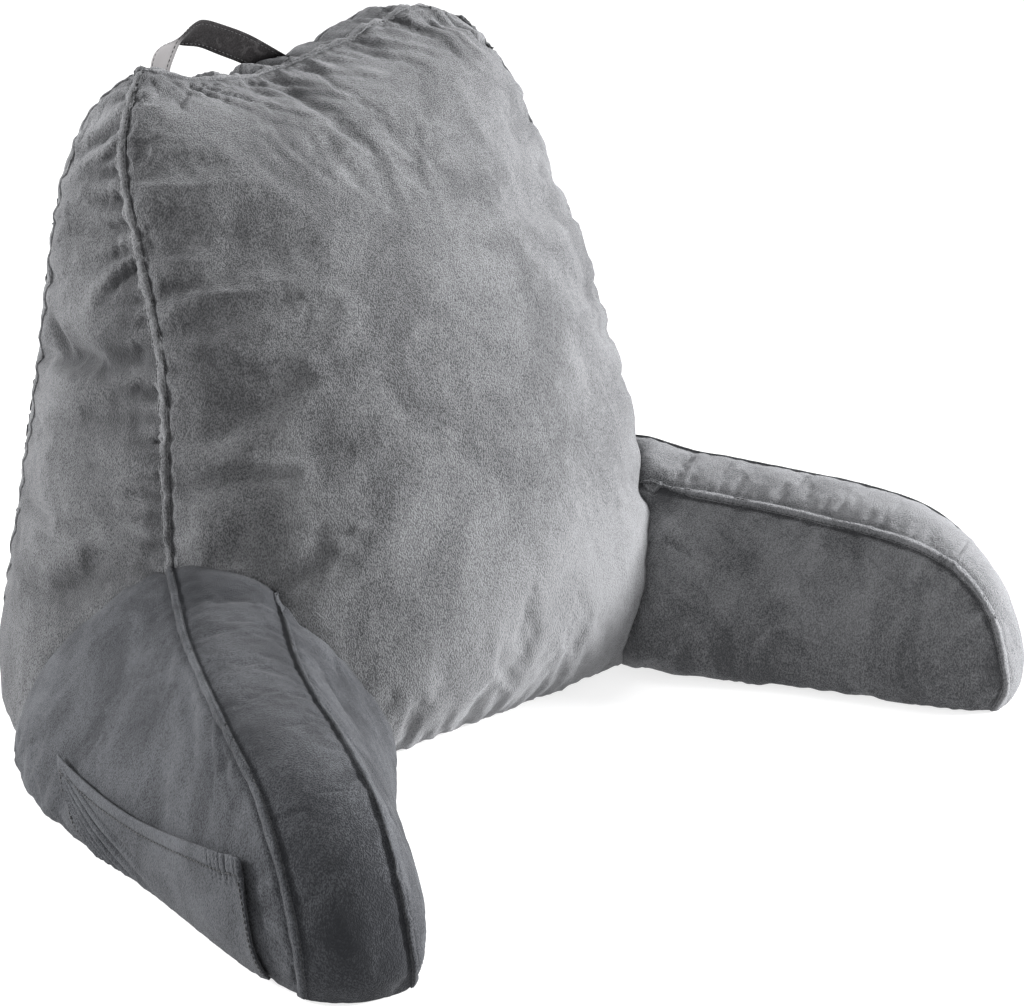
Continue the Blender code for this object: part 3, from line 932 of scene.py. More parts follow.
def backrest_shape(cube: np.ndarray) -> np.ndarray:
    """Carry points of the cube onto the back cushion.

    Args:
        cube: Points from -1 to 1, one a line: across, from the leaning face back, and up.

    Returns:
        Their places on the cushion.
    """
    u, v, w = cube.T
    across = np.sin(0.5 * np.pi * u)
    height, depth = (w + 1.0) / 2.0, (v + 1.0) / 2.0
    front_z, seam_half, seam_y, crown, back_z, back_half, back_y, back_crown, swell = read_table(
        BACKREST_LEVELS, height
    ).T
    rim = np.maximum(1.0 - across * across, 0.0)
    roundness = FLOOR_ROUNDNESS + (FRONT_ROUNDNESS - FLOOR_ROUNDNESS) * smoothstep(0.0, 0.12, height)
    front = np.stack((across * seam_half, seam_y - crown * rim**roundness, front_z), axis=1)
    back = np.stack((across * back_half, back_y + back_crown * rim**BACK_ROUNDNESS, back_z), axis=1)
    point = front + (back - front) * depth[:, None]
    belly = np.sin(np.pi * depth**1.25)
    point[:, 0] += across * swell * belly
    point[:, 2] += TOP_BELLY * belly * smoothstep(0.92, 1.0, height) * (1.0 - across**4)
    rise = read_table(TOP_EDGE, (across + 1.0) / 2.0)[:, 0]
    point[:, 2] += rise * smoothstep(0.70, 1.0, height)
    return placed(point)


def arm_foot(along: np.ndarray, outer: bool) -> np.ndarray:
    """Find where an arm's outer or inner side panel meets the floor."""
    flat = read_table(ARM_FOOT, along)[..., slice(0, 2) if outer else slice(2, 4)]
    return np.concatenate((flat, np.zeros(flat.shape[:-1] + (1,))), axis=-1)


def side_panel(along: np.ndarray, up: np.ndarray, outer: bool) -> np.ndarray:
    """Find points of an arm's side panel, stretched between its seams, its foot and its root.

    Args:
        along: Shares of the way from the root to the tip.
        up: Shares of the way from the floor to the top seam.
        outer: True for the outer panel, False for the inner one.

    Returns:
        The points, before they are moved to where the centred pillow has them.
    """
    ends = slice(0, 3) if outer else slice(3, 6)
    along, up = np.asarray(along, dtype=float), np.asarray(up, dtype=float)
    a, b = along[..., None], up[..., None]
    strip = read_table(STRIP_TOP, along)
    top, front = strip[..., ends], read_table(STRIP_FRONT, 1.0 - up)[..., ends]
    root_low, root_high = arm_foot(np.zeros_like(along), outer), np.array(STRIP_TOP[0])[ends]
    tip, toe = np.array(STRIP_TOP[-1])[ends], np.array(STRIP_FRONT[-1])[ends]
    root = root_low + (root_high - root_low) * b
    end = toe + (tip - toe) * b
    foot = arm_foot(along, outer)
    point = foot + (top - foot) * b + root + (front - root) * a - (root + (end - root) * a)
    across = strip[..., 0:3] - strip[..., 3:6]
    across[..., 2] = 0.0
    belly = np.sin(np.pi * up**0.62) * (1.0 - along**5)
    rooted = 1.0 - smoothstep(0.0, 0.45, along)
    if outer:
        swell = OUTER_SWELL[0] + OUTER_SWELL[1] * rooted * up
    else:
        swell = INNER_SWELL[0] + INNER_SWELL[1] * rooted
    return point + unit(across) * (swell * belly)[..., None]


def arm_shape(cube: np.ndarray) -> np.ndarray:
    """Carry points of the cube onto the right arm.

    Args:
        cube: Points from -1 to 1, one a line: from the root to the tip, from the inner to the
            outer panel, and up.

    Returns:
        Their places on the arm.
    """
    u, v, w = cube.T
    along, up = (u + 1.0) / 2.0, (w + 1.0) / 2.0
    inner, outer = side_panel(along, up, False), side_panel(along, up, True)
    point = inner + (outer - inner) * ((v + 1.0) / 2.0)[:, None]
    on_top = (up >= along)[:, None]
    behind, row, ahead = (
        np.where(on_top, read_table(STRIP_TOP, along + step), read_table(STRIP_FRONT, 1.0 - up + step))
        for step in (-TABLE_STEP, 0.0, TABLE_STEP)
    )
    run = (ahead - behind)[:, 0:3] + (ahead - behind)[:, 3:6]
    normal = unit(np.cross(run, row[:, 0:3] - row[:, 3:6]))
    point = point + normal * (STRIP_CROWN * (1.0 - v * v) * np.maximum(along, up) ** 4)[:, None]
    point[:, 2] = np.maximum(point[:, 2], 0.0)
    return placed(point)


def mirrored(points: np.ndarray) -> np.ndarray:
    """Carry points of the right arm to the left one."""
    out = points.copy()
    out[..., 0] = 2.0 * CENTRE_X - out[..., 0]
    return out


@dataclass
class BackCushion(Cushion):
    """The filled back cushion: a rounded front, a gusset round the sides and top, and a back."""

    name: str = "back_cushion"
    cells: tuple[int, int, int] = (120, 36, 90)
    shape: Callable = backrest_shape
    filling: Filling = Filling()
    plush: Plush = BACK_PLUSH
    ruffle_height: float = 0.0011
    ruffles: float = 26.0
    # Painted shade on the gusset, painted light low on the leaning face and painted shade on its upper
    # left.
    side_painted_shade: float = -0.34
    low_painted_light: float = 0.62
    left_painted_shade: float = -0.44

    def is_sewn(self, cube: np.ndarray) -> np.ndarray:
        """Say which points lie on the front or the back corner seam."""
        rim = (np.abs(cube[:, 0]) > ON_EDGE) | (cube[:, 2] > ON_EDGE)
        return rim & (np.abs(cube[:, 1]) > ON_EDGE)

    def seam_line(self, front: bool, steps: int = 700) -> np.ndarray:
        """Find where a corner seam lies on the cube, from one foot over the top to the other.

        Args:
            front: True for the seam round the leaning face, False for the one round the back.
            steps: The number of points.

        Returns:
            Points of the cube.
        """
        share = np.linspace(0.0, 3.0, steps)
        u = np.clip(2.0 * (share - 1.0) - 1.0, -1.0, 1.0)
        w = np.clip(np.minimum(2.0 * share, 2.0 * (3.0 - share)) - 1.0, -1.0, 1.0)
        return np.stack((u, np.full(steps, -1.0 if front else 1.0), w), axis=1)

    def panel(self, which: Panel) -> np.ndarray:
        """Say which vertices lie on a panel."""
        v = self.cube[:, 1]
        if which is Panel.FRONT:
            return v < -ON_EDGE
        if which is Panel.BACK:
            return v > ON_EDGE
        return (np.abs(v) < ON_EDGE) & (self.cube[:, 2] > -ON_EDGE)

    def dress(self) -> bpy.types.Object:
        """Fold, gather and finish the cushion.

        Returns:
            The cushion's object.
        """
        self.build(BACKREST_FOLDS, BACKREST_CREASES)
        self.ruffle(self.ruffle_height, self.ruffles)
        front, back = backrest_shape(self.seam_line(True)), backrest_shape(self.seam_line(False))
        sides, leaning = self.panel(Panel.SIDES), self.panel(Panel.FRONT)
        top = front[len(front) // 3:-(len(front) // 3)]
        for seam, rows, puckers, reach, pinch in (
            (front, sides, Puckers(3, 0.0125, 0.050, 0.0052, 0.0034, 0.25), 0.09, 0.0004),
            (front, leaning, Puckers(11, 0.022, 0.034, 0.0016, 0.0048, 0.4), 0.09, 0.0012),
            (top, leaning, Puckers(17, 0.0140, 0.070, 0.0023, 0.0027, 0.35, 0.7), 0.11, 0.0),
            (back, sides, Puckers(5, 0.024, 0.050, 0.0018, 0.0060, 0.3), 0.09, 0.0006),
            (back, self.panel(Panel.BACK), Puckers(7, 0.022, 0.045, 0.0024, 0.0050, 0.4), 0.09, 0.0012),
        ):
            self.gather(seam, rows, puckers, reach, pinch)
        points = points_of(self.piece.data)
        points[:, 2] = np.maximum(points[:, 2], 0.0)
        move_points(self.piece.data, points)
        drift = np.array([noise.noise(point * 7.0) for point in map(Vector, points)])
        # Painted shade on the gusset and on the upper left of the leaning face, and painted light low
        # on the leaning face.
        self.nap[sides] += self.side_painted_shade
        high = smoothstep(0.08, 0.26, points[:, 2] + 0.10 * drift)
        brushed_and_painted_shade = self.left_painted_shade * high * smoothstep(0.20, -0.60, self.cube[:, 0] + 0.35 * drift)
        self.nap[leaning] += (self.low_painted_light * (1.0 - high) + brushed_and_painted_shade)[leaning]
        paint_light_and_shade(self.piece, self.nap)
        finished(self.piece, self.plush.material())
        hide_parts("backrest")
        return self.piece


@dataclass
class ArmCushion(Cushion):
    """A filled arm: a D-shaped panel on each side, and one strip over the top and the tip."""

    name: str = "arm_cushion"
    cells: tuple[int, int, int] = (80, 18, 36)
    shape: Callable = arm_shape
    filling: Filling = Filling(slack=0.008, cap=0.004, smoothing=40)
    plush: Plush = FAR_PLUSH
    side: Side = Side.RIGHT
    ruffle_height: float = 0.0009
    ruffles: float = 30.0
    groove_at: tuple[float, float] = (0.0062, 0.0030)
    tuck_reach: float = 0.016
    tuck_depth: float = 0.0035

    def __post_init__(self) -> None:
        """Name the arm after its side, and give the left arm the darker copy of the plush that is
        painted shade.
        """
        self.name = f"arm_cushion_{self.side.value}"
        self.plush = SHADED_NEAR_PLUSH if self.side is Side.LEFT else FAR_PLUSH

    def is_sewn(self, cube: np.ndarray) -> np.ndarray:
        """Say which points lie on the two seams beside the top strip."""
        rim = (cube[:, 0] > ON_EDGE) | (cube[:, 2] > ON_EDGE) | (cube[:, 0] < -ON_EDGE)
        return rim & (np.abs(cube[:, 1]) > ON_EDGE)

    def seam_line(self, outer: bool, steps: int = 420) -> np.ndarray:
        """Find where one of the strip's seams lies on the cube, from the root to the toe.

        Args:
            outer: True for the seam of the outer panel, False for that of the inner one.
            steps: The number of points.

        Returns:
            Points of the cube.
        """
        share = np.linspace(0.0, 2.0, steps)
        u = np.clip(2.0 * share - 1.0, -1.0, 1.0)
        w = np.clip(2.0 * (2.0 - share) - 1.0, -1.0, 1.0)
        return np.stack((u, np.full(steps, 1.0 if outer else -1.0), w), axis=1)

    def on_side(self, points: np.ndarray) -> np.ndarray:
        """Carry points of the right arm to this one."""
        return mirrored(points) if self.side is Side.LEFT else points

    def dress(self, back: bpy.types.Object, seat: BVHTree) -> bpy.types.Object:
        """Fold, gather, seat and finish the arm.

        Args:
            back: The back cushion that the arm is sewn to.
            seat: Search tree over the back cushion.

        Returns:
            The arm's object.
        """
        self.build(ARM_FOLDS, ARM_CREASES)
        self.ruffle(self.ruffle_height, self.ruffles)
        v = self.cube[:, 1]
        strip = (np.abs(v) < ON_EDGE) & (self.cube[:, 2] > -ON_EDGE)
        turn = 20 if self.side is Side.LEFT else 40
        for index, (outer, rows) in enumerate(((True, v > ON_EDGE), (False, v < -ON_EDGE))):
            seam = arm_shape(self.seam_line(outer))
            self.gather(seam, rows, Puckers(turn + index, 0.024, 0.040, 0.0014, 0.0048, 0.5),
                        pinch=0.0018, groove_at=self.groove_at[0])
            self.gather(seam, strip, Puckers(turn + 4 + index, 0.026, 0.024, 0.0009, 0.0050, 0.5),
                        reach=0.03, groove_at=self.groove_at[1])
        mesh = self.piece.data
        # Painted shade on the left arm's strip, painted light on the right arm's strip, and painted
        # shade on the right arm's inner panel, darker towards the floor.
        low = smoothstep(0.11, 0.02, points_of(mesh)[:, 2])
        if self.side is Side.LEFT:
            self.nap[strip] -= 0.55
            move_points(mesh, mirrored(points_of(mesh)))
            mesh.flip_normals()
        else:
            self.nap[strip] += 0.25
            self.nap[v < -ON_EDGE] -= (0.12 + 0.50 * low)[v < -ON_EDGE]
        self.tuck(seat)
        paint_light_and_shade(self.piece, self.nap)
        fit_against(self.piece, back, to_floor=True)
        finished(self.piece, self.plush.material())
        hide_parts(f"arm_{self.side.value}")
        return self.piece

    def tuck(self, seat: BVHTree) -> None:
        """Draw the cover in towards the line where it is sewn to the back cushion, with painted shade
        along it.
        """
        mesh = self.piece.data
        points, normals = points_of(mesh), normals_of(mesh)
        for index, point in enumerate(points):
            if point[2] < 0.002:
                continue
            spot, way, _, away = seat.find_nearest(Vector(point), 2.0 * self.tuck_reach)
            if spot is None:
                continue
            outside = away if (Vector(point) - spot).dot(way) > 0.0 else 0.0
            share = max(0.0, 1.0 - outside / self.tuck_reach) ** 2
            points[index] -= normals[index] * self.tuck_depth * share
            # Painted shade where the arm meets the back cushion.
            self.nap[index] -= 0.9 * share**3
        points[:, 2] = np.maximum(points[:, 2], 0.0)
        move_points(mesh, points)


# Trim: seam bands, stitches, strap and pocket.


def resampled(line: np.ndarray, step: float) -> np.ndarray:
    """Space points evenly along a line."""
    run = np.concatenate([[0.0], np.cumsum(np.linalg.norm(np.diff(line, axis=0), axis=1))])
    places = np.linspace(0.0, run[-1], max(2, int(round(run[-1] / step)) + 1))
    return np.stack([np.interp(places, run, line[:, axis]) for axis in range(3)], axis=1)


@dataclass(frozen=True)
class StitchLine:
    """Topstitching: one short thread loop after another along a line."""

    length: float = 0.0030
    gap: float = 0.0008
    radius: float = 0.00058
    batch: int = 24

    def sew(self, shape: bmesh.types.BMesh, line: np.ndarray) -> None:
        """Add the stitches of a line to a bmesh, apart from any that would reach under the floor.

        Args:
            shape: The bmesh that takes the stitches.
            line: The points that the stitching follows.
        """
        holes = resampled(line, self.length + self.gap)
        loops = list(zip(holes[:-1], holes[1:]))
        for first in range(0, len(loops), self.batch):
            row = bmesh.new()
            for start, end in loops[first:first + self.batch]:
                if start[2] + end[2] < self.length:
                    continue
                way = Vector(end - start)
                turn = way.to_track_quat("Z", "Y").to_matrix().to_4x4()
                size = Matrix.Diagonal((self.radius, self.radius, self.length / 2.0, 1.0))
                place = Matrix.Translation(Vector((start + end) / 2.0)) @ turn @ size
                bmesh.ops.create_uvsphere(row, u_segments=6, v_segments=4, radius=1.0, matrix=place)
            mesh = bpy.data.meshes.new("stitch_row")
            row.to_mesh(mesh)
            row.free()
            shape.from_mesh(mesh)
            bpy.data.meshes.remove(mesh)


@dataclass
class SeamBand:
    """Flat felled seam: a raised band of the cover with a row of topstitching near each edge."""

    width: float = 0.0088
    height: float = 0.0016
    step: float = 0.0022
    offset: float = 0.0
    clearance: float = 0.0006
    # Painted light on the raised band; a value below 0 is painted shade.
    nap: float = 0.18
    columns: tuple[float, ...] = (0.0, 0.03, 0.09, 0.16, 0.23, 0.5, 0.77, 0.84, 0.91, 0.97, 1.0)
    profile: tuple[float, ...] = (-1.2, 0.6, 1.0, 0.5, 1.0, 1.05, 1.0, 0.5, 1.0, 0.6, -1.2)

    def lay(self, name: str, line: np.ndarray, inner: np.ndarray, skin: BVHTree,
            stitches: bmesh.types.BMesh) -> bpy.types.Object:
        """Lay the band along a seam, close to the cover.

        Args:
            name: Name of the band's object.
            line: Points along the seam.
            inner: For each of them, a point a little way into the panel that the band lies on.
            skin: Search tree over the cover.
            stitches: The bmesh that takes the topstitching.

        Returns:
            The band's object.
        """
        spaced = resampled(line, self.step)
        inner_length = np.linalg.norm(np.diff(inner, axis=0), axis=1).sum()
        aside = resampled(inner, inner_length / (len(spaced) - 1))
        count = min(len(spaced), len(aside))
        spaced, aside = spaced[:count], aside[:count]
        ahead = unit(np.gradient(spaced, axis=0))
        across = aside - spaced
        across = unit(across - ahead * np.sum(across * ahead, axis=1, keepdims=True))
        columns, profile = np.array(self.columns), np.array(self.profile) * self.height
        band = bmesh.new()
        bmesh.ops.create_grid(band, x_segments=count - 1, y_segments=len(columns) - 1, size=1.0)
        ridges: dict[int, list] = {3: [], 7: []}
        for vert in sorted(band.verts, key=lambda v: (round(v.co.y, 4), v.co.x)):
            row = int(round((vert.co.x + 1.0) / 2.0 * (count - 1)))
            column = int(round((vert.co.y + 1.0) / 2.0 * (len(columns) - 1)))
            out = self.offset + columns[column] * self.width
            spot, way, _, _ = skin.find_nearest(Vector(spaced[row] + across[row] * out))
            vert.co = spot + way * profile[column]
            vert.co.z = max(vert.co.z, self.clearance)
            if column in ridges:
                ridges[column].append(np.array(spot + way * (profile[column] + 0.0001)))
        band.normal_update()
        middle = band.faces[:][len(band.faces) // 2]
        if middle.normal.dot(skin.find_nearest(middle.calc_center_median())[1]) < 0.0:
            bmesh.ops.reverse_faces(band, faces=band.faces)
        for ridge in ridges.values():
            StitchLine().sew(stitches, np.array(ridge))
        piece = new_object(name, band)
        # Even painted light over the whole band, painted shade where the value is below 0.
        paint_light_and_shade(piece, np.full(len(piece.data.vertices), self.nap))
        return piece


@dataclass
class PatchPocket:
    """The flat pocket on the left arm's outer panel, with a hemmed mouth that is drawn in."""

    thickness: float = 0.0018
    standoff: float = 0.0012
    slack: float = 0.0030
    hem: float = 0.125
    length: float = 0.285
    height: float = 0.062
    cut: tuple[float, float] = (0.285, 0.097)
    cut_area: float = 0.0178
    open_edge: float = 0.0032
    foot: float = 0.03
    tip_lift: float = 0.050
    lowest: float = 0.004
    closest: float = 0.0010
    foot_gap: float = 0.0014
    mouth_gap: float = 0.030
    hem_height: float = 0.0009
    hem_groove: float = 0.0006
    gathers: float = 0.0016
    pleats: float = 0.0014
    thread_offset: float = 0.0003

    def shape(self, flat: np.ndarray) -> np.ndarray:
        """Carry points of a flat grid onto the pocket.

        Args:
            flat: Points from -1 to 1, one a line: from the rear to the tip, and from foot to mouth.

        Returns:
            Their places on the right arm.
        """
        u, v = flat.T
        share, height = (u + 1.0) / 2.0, (v + 1.0) / 2.0
        along_mouth, along_foot, rise = read_table(POCKET_MOUTH, share).T
        foot = self.foot + self.tip_lift * smoothstep(0.86, 1.0, share)
        up = foot + (rise - foot) * height
        along = along_foot + (along_mouth - along_foot) * height
        ahead = side_panel(along + TABLE_STEP, up, True) - side_panel(along - TABLE_STEP, up, True)
        above = side_panel(along, up + TABLE_STEP, True) - side_panel(along, up - TABLE_STEP, True)
        normal = unit(np.cross(above, ahead))
        gape = self.slack * smoothstep(-0.2, 1.0, v) * np.sqrt(np.sin(np.pi * np.clip(share, 0.0, 1.0)))
        edge = smoothstep(0.90, 1.0, share) * (0.25 + 0.75 * smoothstep(0.0, 0.4, height))
        gape = gape + self.relief(share, height) + self.open_edge * edge
        point = side_panel(along, up, True) + normal * (self.standoff + gape)[:, None]
        point[:, 2] = np.maximum(point[:, 2], self.lowest)
        return placed(point)

    def laid(self, flat: np.ndarray, skin: BVHTree) -> np.ndarray:
        """Lay points of the flat grid over the arm, close to its cover at the foot.

        Args:
            flat: Points from -1 to 1, as shape takes them.
            skin: Search tree over the arm's cover.

        Returns:
            Their places on the left arm.
        """
        limits = self.foot_gap + self.mouth_gap * smoothstep(0.02, 0.50, (flat[:, 1] + 1.0) / 2.0)
        places = []
        for point, limit in zip(mirrored(self.shape(flat)), limits):
            spot, way, _, _ = skin.find_nearest(Vector(point))
            lift = (Vector(point) - spot).dot(way)
            places.append(Vector(point) + way * (min(max(lift, self.closest), limit) - lift))
        return np.array(places)

    def relief(self, share: np.ndarray, height: np.ndarray) -> np.ndarray:
        """Raise the pocket's hem, its gathers at the tip's end and its pleats at the rear."""
        below_hem = 1.0 - self.hem - height
        rise = self.hem_height * smoothstep(-0.02, 0.0, -below_hem)
        rise = rise - self.hem_groove * np.exp(-((below_hem / 0.018) ** 2))
        drawn = smoothstep(0.72, 0.93, share) * smoothstep(0.72, 0.95, height)
        uneven = 0.65 + 0.35 * np.sin(71.0 * share + 9.0 * height)
        wave = np.sin(2.0 * np.pi * 34.0 * share + 2.4 * np.sin(23.0 * share))
        rise = rise + self.gathers * drawn * uneven * wave
        across, down = share * self.length, (1.0 - height) * self.height
        away, turn = np.hypot(across, down), np.arctan2(down, across + 1e-6)
        fan = smoothstep(0.006, 0.020, away) * (1.0 - smoothstep(0.060, 0.150, away))
        pleats = np.sin(36.0 * turn + 1.6 * np.sin(5.0 * turn)) * smoothstep(0.15, 0.40, turn)
        return rise + self.pleats * fan * pleats * smoothstep(0.0, 0.02, share)

    def build(self, arm: bpy.types.Object, stitches: bmesh.types.BMesh) -> bpy.types.Object:
        """Build the pocket over the left arm.

        Args:
            arm: The arm that the pocket is sewn to.
            stitches: The bmesh that takes the topstitching.

        Returns:
            The pocket's object.
        """
        sheet = bmesh.new()
        bmesh.ops.create_grid(sheet, x_segments=220, y_segments=64, size=1.0)
        flat = np.array([vert.co[:2] for vert in sheet.verts])
        skin = skin_of(arm)
        for vert, point in zip(sheet.verts, self.laid(flat, skin)):
            vert.co = point
        sheet.normal_update()
        if sum(face.normal.x * face.calc_area() for face in sheet.faces) > 0.0:
            bmesh.ops.reverse_faces(sheet, faces=sheet.faces)
        share = np.linspace(0.012, 0.988, 500)
        side = np.linspace(0.02, 0.84, 120)
        rows = [(share, np.full_like(share, 1.0 - self.hem)),
                (np.full_like(side, 0.985), side), (np.full_like(side, 0.02), side)]
        for across, up in rows:
            line = self.laid(np.stack((2.0 * across - 1.0, 2.0 * up - 1.0), axis=1), skin)
            StitchLine().sew(stitches, line - np.array((self.thickness + self.thread_offset, 0.0, 0.0)))
        pocket = new_object("patch_pocket", sheet)
        share, height = (flat[:, 0] + 1.0) / 2.0, (flat[:, 1] + 1.0) / 2.0
        # Painted light on the hem and the ridges, painted shade in the grooves, in the corner by the
        # tip's mouth, along the tip's edge and along the hem line.
        corner = np.exp(-(((share - 0.97) / 0.018) ** 2) - ((height - 0.90) / 0.10) ** 2)
        edge = np.exp(-(((share - 1.0) / 0.010) ** 2))
        edge = edge + 0.7 * np.exp(-(((height - 1.0 + self.hem) / 0.014) ** 2))
        paint_light_and_shade(pocket, self.relief(share, height) / 0.0030 - 0.9 * corner - 0.7 * edge)
        wall = pocket.modifiers.new("Cloth", "SOLIDIFY")
        wall.thickness, wall.offset = self.thickness, 1.0
        finished(pocket, SHADED_NEAR_PLUSH.material())
        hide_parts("pocket")
        return pocket


@dataclass
class CarryStrap:
    """The handle: a doubled strip of cloth, turned at its peak and topstitched along both edges."""

    width: float = 0.0235
    thickness: float = 0.0026
    length: float = 0.174
    stitched_at: float = 0.76
    thread: StitchLine = StitchLine(radius=0.0003)

    def point(self, share: np.ndarray, across: np.ndarray, out: np.ndarray) -> np.ndarray:
        """Find points of the strap.

        Args:
            share: Shares of the way along the strap.
            across: From -1 at its near edge to 1 at its far edge.
            out: How far outside its middle layer, in metres.

        Returns:
            The points.
        """
        row = read_table(HANDLE_PATH, share)
        near, far = row[:, 0:3], row[:, 3:6]
        width = unit(far - near)
        run = read_table(HANDLE_PATH, share + TABLE_STEP) - read_table(HANDLE_PATH, share - TABLE_STEP)
        through = unit(np.cross(run[:, 0:3] + run[:, 3:6], width))
        middle = (near + far) / 2.0
        return placed(middle + width * (across * self.width / 2.0)[:, None] + through * out[:, None])

    def wave(self, share: np.ndarray, across: np.ndarray) -> np.ndarray:
        """Measure how far the strap's loose cloth waves out of its middle layer."""
        return 0.0005 * np.sin(31.0 * share + 2.0 * across)

    def build(self, back: bpy.types.Object, stitches: bmesh.types.BMesh) -> bpy.types.Object:
        """Build the strap.

        Args:
            back: The back cushion that the strap is sewn to.
            stitches: The bmesh that takes the topstitching.

        Returns:
            The strap's object.
        """
        band = cube_shell((140, 24, 4))
        cube = np.array([vert.co[:] for vert in band.verts])
        share, across = (cube[:, 0] + 1.0) / 2.0, np.sin(0.5 * np.pi * cube[:, 1])
        rounded = (1.0 - np.abs(across) ** 6 * 0.75) * self.thickness / 2.0
        dimple = np.exp(-(((np.abs(across) - self.stitched_at) / 0.05) ** 2))
        wave = self.wave(share, across)
        out = cube[:, 2] * (rounded - 0.0004 * dimple) + wave
        for vert, place in zip(band.verts, self.point(share, across, out)):
            vert.co = place
        if band.calc_volume(signed=True) < 0.0:
            bmesh.ops.reverse_faces(band, faces=band.faces)
        strap = new_object("carry_strap", band)
        along = np.linspace(0.06, 0.94, 300)
        for edge in (-self.stitched_at, self.stitched_at):
            for face in (-1.0, 1.0):
                side = np.full_like(along, edge)
                out = face * (self.thickness / 2.0 - 0.0002) + self.wave(along, side)
                self.thread.sew(stitches, self.point(along, side, out))
        fit_against(strap, back)
        # Painted light on the strap's left leg and painted shade on its run over the top.
        rise = points_of(strap.data)[:, 0] - CENTRE_X
        paint_light_and_shade(strap, 1.6 * (1.0 - smoothstep(-0.110, -0.100, rise)) - 0.72)
        finished(strap, STRAP_PLUSH.material())
        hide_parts("handle")
        return strap


# Studio.


@dataclass(frozen=True)
class PhotoView:
    """The photograph's camera, solved from the pillow's outline."""

    azimuth: float = -41.458
    elevation: float = 20.1
    distance: float = 1.584
    focal_pixels: float = 2124.526
    picture_width: int = 1024
    target: tuple[float, float, float] = (-0.0076, -0.0655, 0.185)

    def make(self) -> bpy.types.Object:
        """Set up the camera and make it the scene's.

        Returns:
            The camera's object.
        """
        turn, rise = math.radians(self.azimuth), math.radians(self.elevation)
        flat = math.cos(rise)
        back = Vector((math.sin(turn) * flat, -math.cos(turn) * flat, math.sin(rise)))
        lens = bpy.data.cameras.new("photo_view")
        lens.sensor_width = 36.0
        lens.lens = lens.sensor_width * self.focal_pixels / self.picture_width
        camera = linked("photo_view", lens)
        camera.location = Vector(self.target) + back * self.distance
        camera.rotation_euler = back.to_track_quat("Z", "Y").to_euler()
        bpy.context.scene.camera = camera
        return camera


@dataclass(frozen=True)
class SoftBox:
    """One large soft lamp that looks at the pillow."""

    name: str
    place: tuple[float, float, float]
    size: float
    power: float

    def hang(self) -> None:
        """Hang the lamp and turn it towards the pillow."""
        lamp = bpy.data.lights.new(self.name, "AREA")
        lamp.shape, lamp.size, lamp.energy = "DISK", self.size, self.power
        holder = linked(self.name, lamp)
        holder.location = self.place
        aim = Vector((0.0, 0.0, 0.2)) - Vector(self.place)
        holder.rotation_euler = aim.to_track_quat("-Z", "Y").to_euler()


@dataclass(frozen=True)
class Studio:
    """Pale floor, pale surroundings and soft lamps."""

    floor_half: float = 60.0
    floor_height: float = -0.0005
    floor_colour: tuple[float, float, float, float] = (0.35, 0.35, 0.352, 1.0)
    floor_glow: float = 0.74
    sky: float = 0.80
    lamps: tuple[SoftBox, ...] = (
        SoftBox("key_lamp", (2.7, -1.9, 1.1), 0.8, 400.0),
        SoftBox("top_lamp", (0.4, 0.9, 3.6), 1.6, 70.0),
        SoftBox("rim_lamp", (-2.1, 1.9, 1.3), 0.9, 150.0),
    )

    def build(self) -> None:
        """Lay the floor, light the surroundings and hang the lamps."""
        slab = bmesh.new()
        bmesh.ops.create_grid(slab, x_segments=2, y_segments=2, size=self.floor_half)
        bmesh.ops.translate(slab, vec=(0.0, 0.0, self.floor_height), verts=slab.verts)
        floor = new_object("studio_floor", slab)
        floor.data.materials.append(self.floor_material())
        world = bpy.data.worlds.new("studio_air")
        world.use_nodes = True
        air = world.node_tree.nodes["Background"]
        air.inputs["Color"].default_value = WHITE
        air.inputs["Strength"].default_value = self.sky
        bpy.context.scene.world = world
        for lamp in self.lamps:
            lamp.hang()
        bpy.context.scene.view_settings.view_transform = "Standard"

    def floor_material(self) -> bpy.types.Material:
        """Matt white sheet, lit from below and with the faintest unevenness."""
        material, bench, shader = new_material("studio_paper")
        grain = bench.add("TexNoise", {"Scale": 3.0})
        faint = tuple(0.99 * part for part in self.floor_colour[:3]) + (1.0,)
        bench.feed(shader, {
            "Base Color": bench.mix(grain.outputs["Fac"], self.floor_colour, faint), "Roughness": 0.9,
            "Emission Color": WHITE, "Emission Strength": self.floor_glow,
        })
        return material


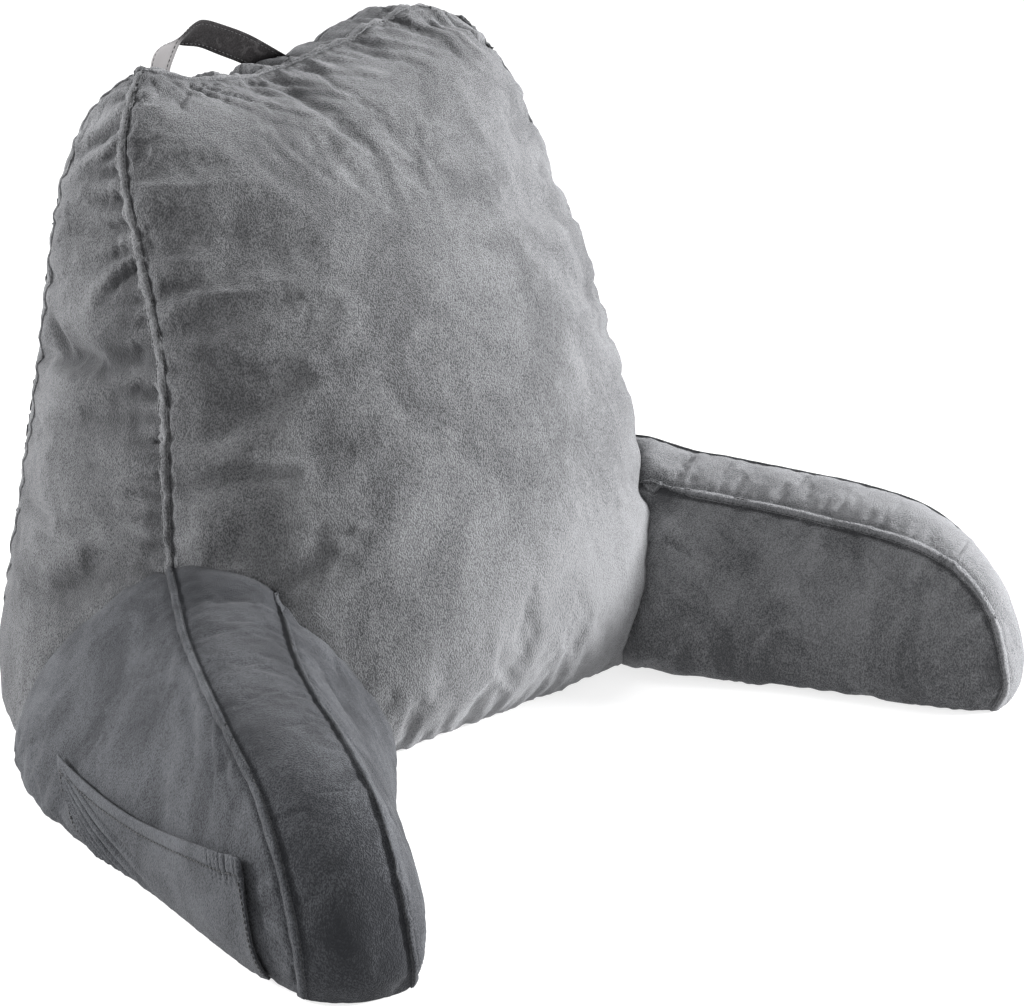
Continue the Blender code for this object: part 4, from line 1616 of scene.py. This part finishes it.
@dataclass
class BackrestPillow:
    """The whole pillow, piece by piece."""

    def lay_band(self, cushion: Cushion, skin: BVHTree, name: str, seam: np.ndarray, inside: np.ndarray,
                 stitches: bmesh.types.BMesh, band: SeamBand, place: Callable) -> bpy.types.Object:
        """Lay one seam band over a cushion.

        Args:
            cushion: The cushion.
            skin: Search tree over its cover.
            name: Name of the band's object.
            seam: The seam's points on the cube.
            inside: Points of the cube a little way into the panel that the band lies on.
            stitches: The bmesh that takes the topstitching.
            band: The band's sizes.
            place: What carries a point of the shape to where the cushion is.

        Returns:
            The band's object.
        """
        line, inner = place(cushion.shape(seam)), place(cushion.shape(inside))
        piece = band.lay(name, line, inner, skin, stitches)
        finished(piece, cushion.plush.material())
        LOG.info("%s laid", name)
        return piece

    def build(self) -> None:
        """Build the cushions, then everything that is sewn onto them."""
        back = BackCushion()
        back.dress()
        LOG.info("back cushion: %d faces", len(back.piece.data.polygons))
        seat = skin_of(back.piece)
        stitches = bmesh.new()
        for front, name in ((True, "front_seam_band"), (False, "back_seam_band")):
            seam = back.seam_line(front)
            inside = seam + np.array((0.0, 0.10 if front else -0.10, 0.0))
            self.lay_band(back, seat, name, seam, inside, stitches, SeamBand(), lambda points: points)
        for side in Side:
            arm = ArmCushion(side=side)
            arm.dress(back.piece, seat)
            LOG.info("%s: %d faces", arm.name, len(arm.piece.data.polygons))
            skin = skin_of(arm.piece)
            for outer in (True, False):
                seam = arm.seam_line(outer)
                seam = seam[self.outside(arm.on_side(arm.shape(seam)), seat)]
                inside = seam * np.array((0.96, 1.0, 0.96))
                # Painted light on the right arm's bands, painted shade on the left arm's.
                nap = 0.15 if side is Side.RIGHT else -0.10
                band = SeamBand(width=0.0075, offset=-0.002, nap=nap)
                name = f"{'outer' if outer else 'inner'}_band_{side.value}"
                self.lay_band(arm, skin, name, seam, inside, stitches, band, arm.on_side)
            if side is Side.LEFT:
                PatchPocket().build(arm.piece, stitches)
                LOG.info("pocket sewn on")
        CarryStrap().build(back.piece, stitches)
        LOG.info("strap sewn on")
        thread = new_object("topstitching", stitches)
        finished(thread, DARK_THREAD.material())

    @staticmethod
    def outside(points: np.ndarray, seat: BVHTree) -> np.ndarray:
        """Say which points lie outside the back cushion."""
        away = []
        for point in map(Vector, points):
            spot, way, _, _ = seat.find_nearest(point)
            away.append((point - spot).dot(way))
        return np.array(away) > NEAR_ZERO


def main() -> None:
    """Load the frame, dress the pillow and set up the picture."""
    logging.basicConfig(level=logging.INFO, format="%(relativeCreated)6.0f ms, %(name)s: %(message)s")
    for old in list(bpy.data.objects):
        bpy.data.objects.remove(old, do_unlink=True)
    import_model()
    PhotoView().make()
    BackrestPillow().build()
    Studio().build()


if __name__ == "__main__":
    main()
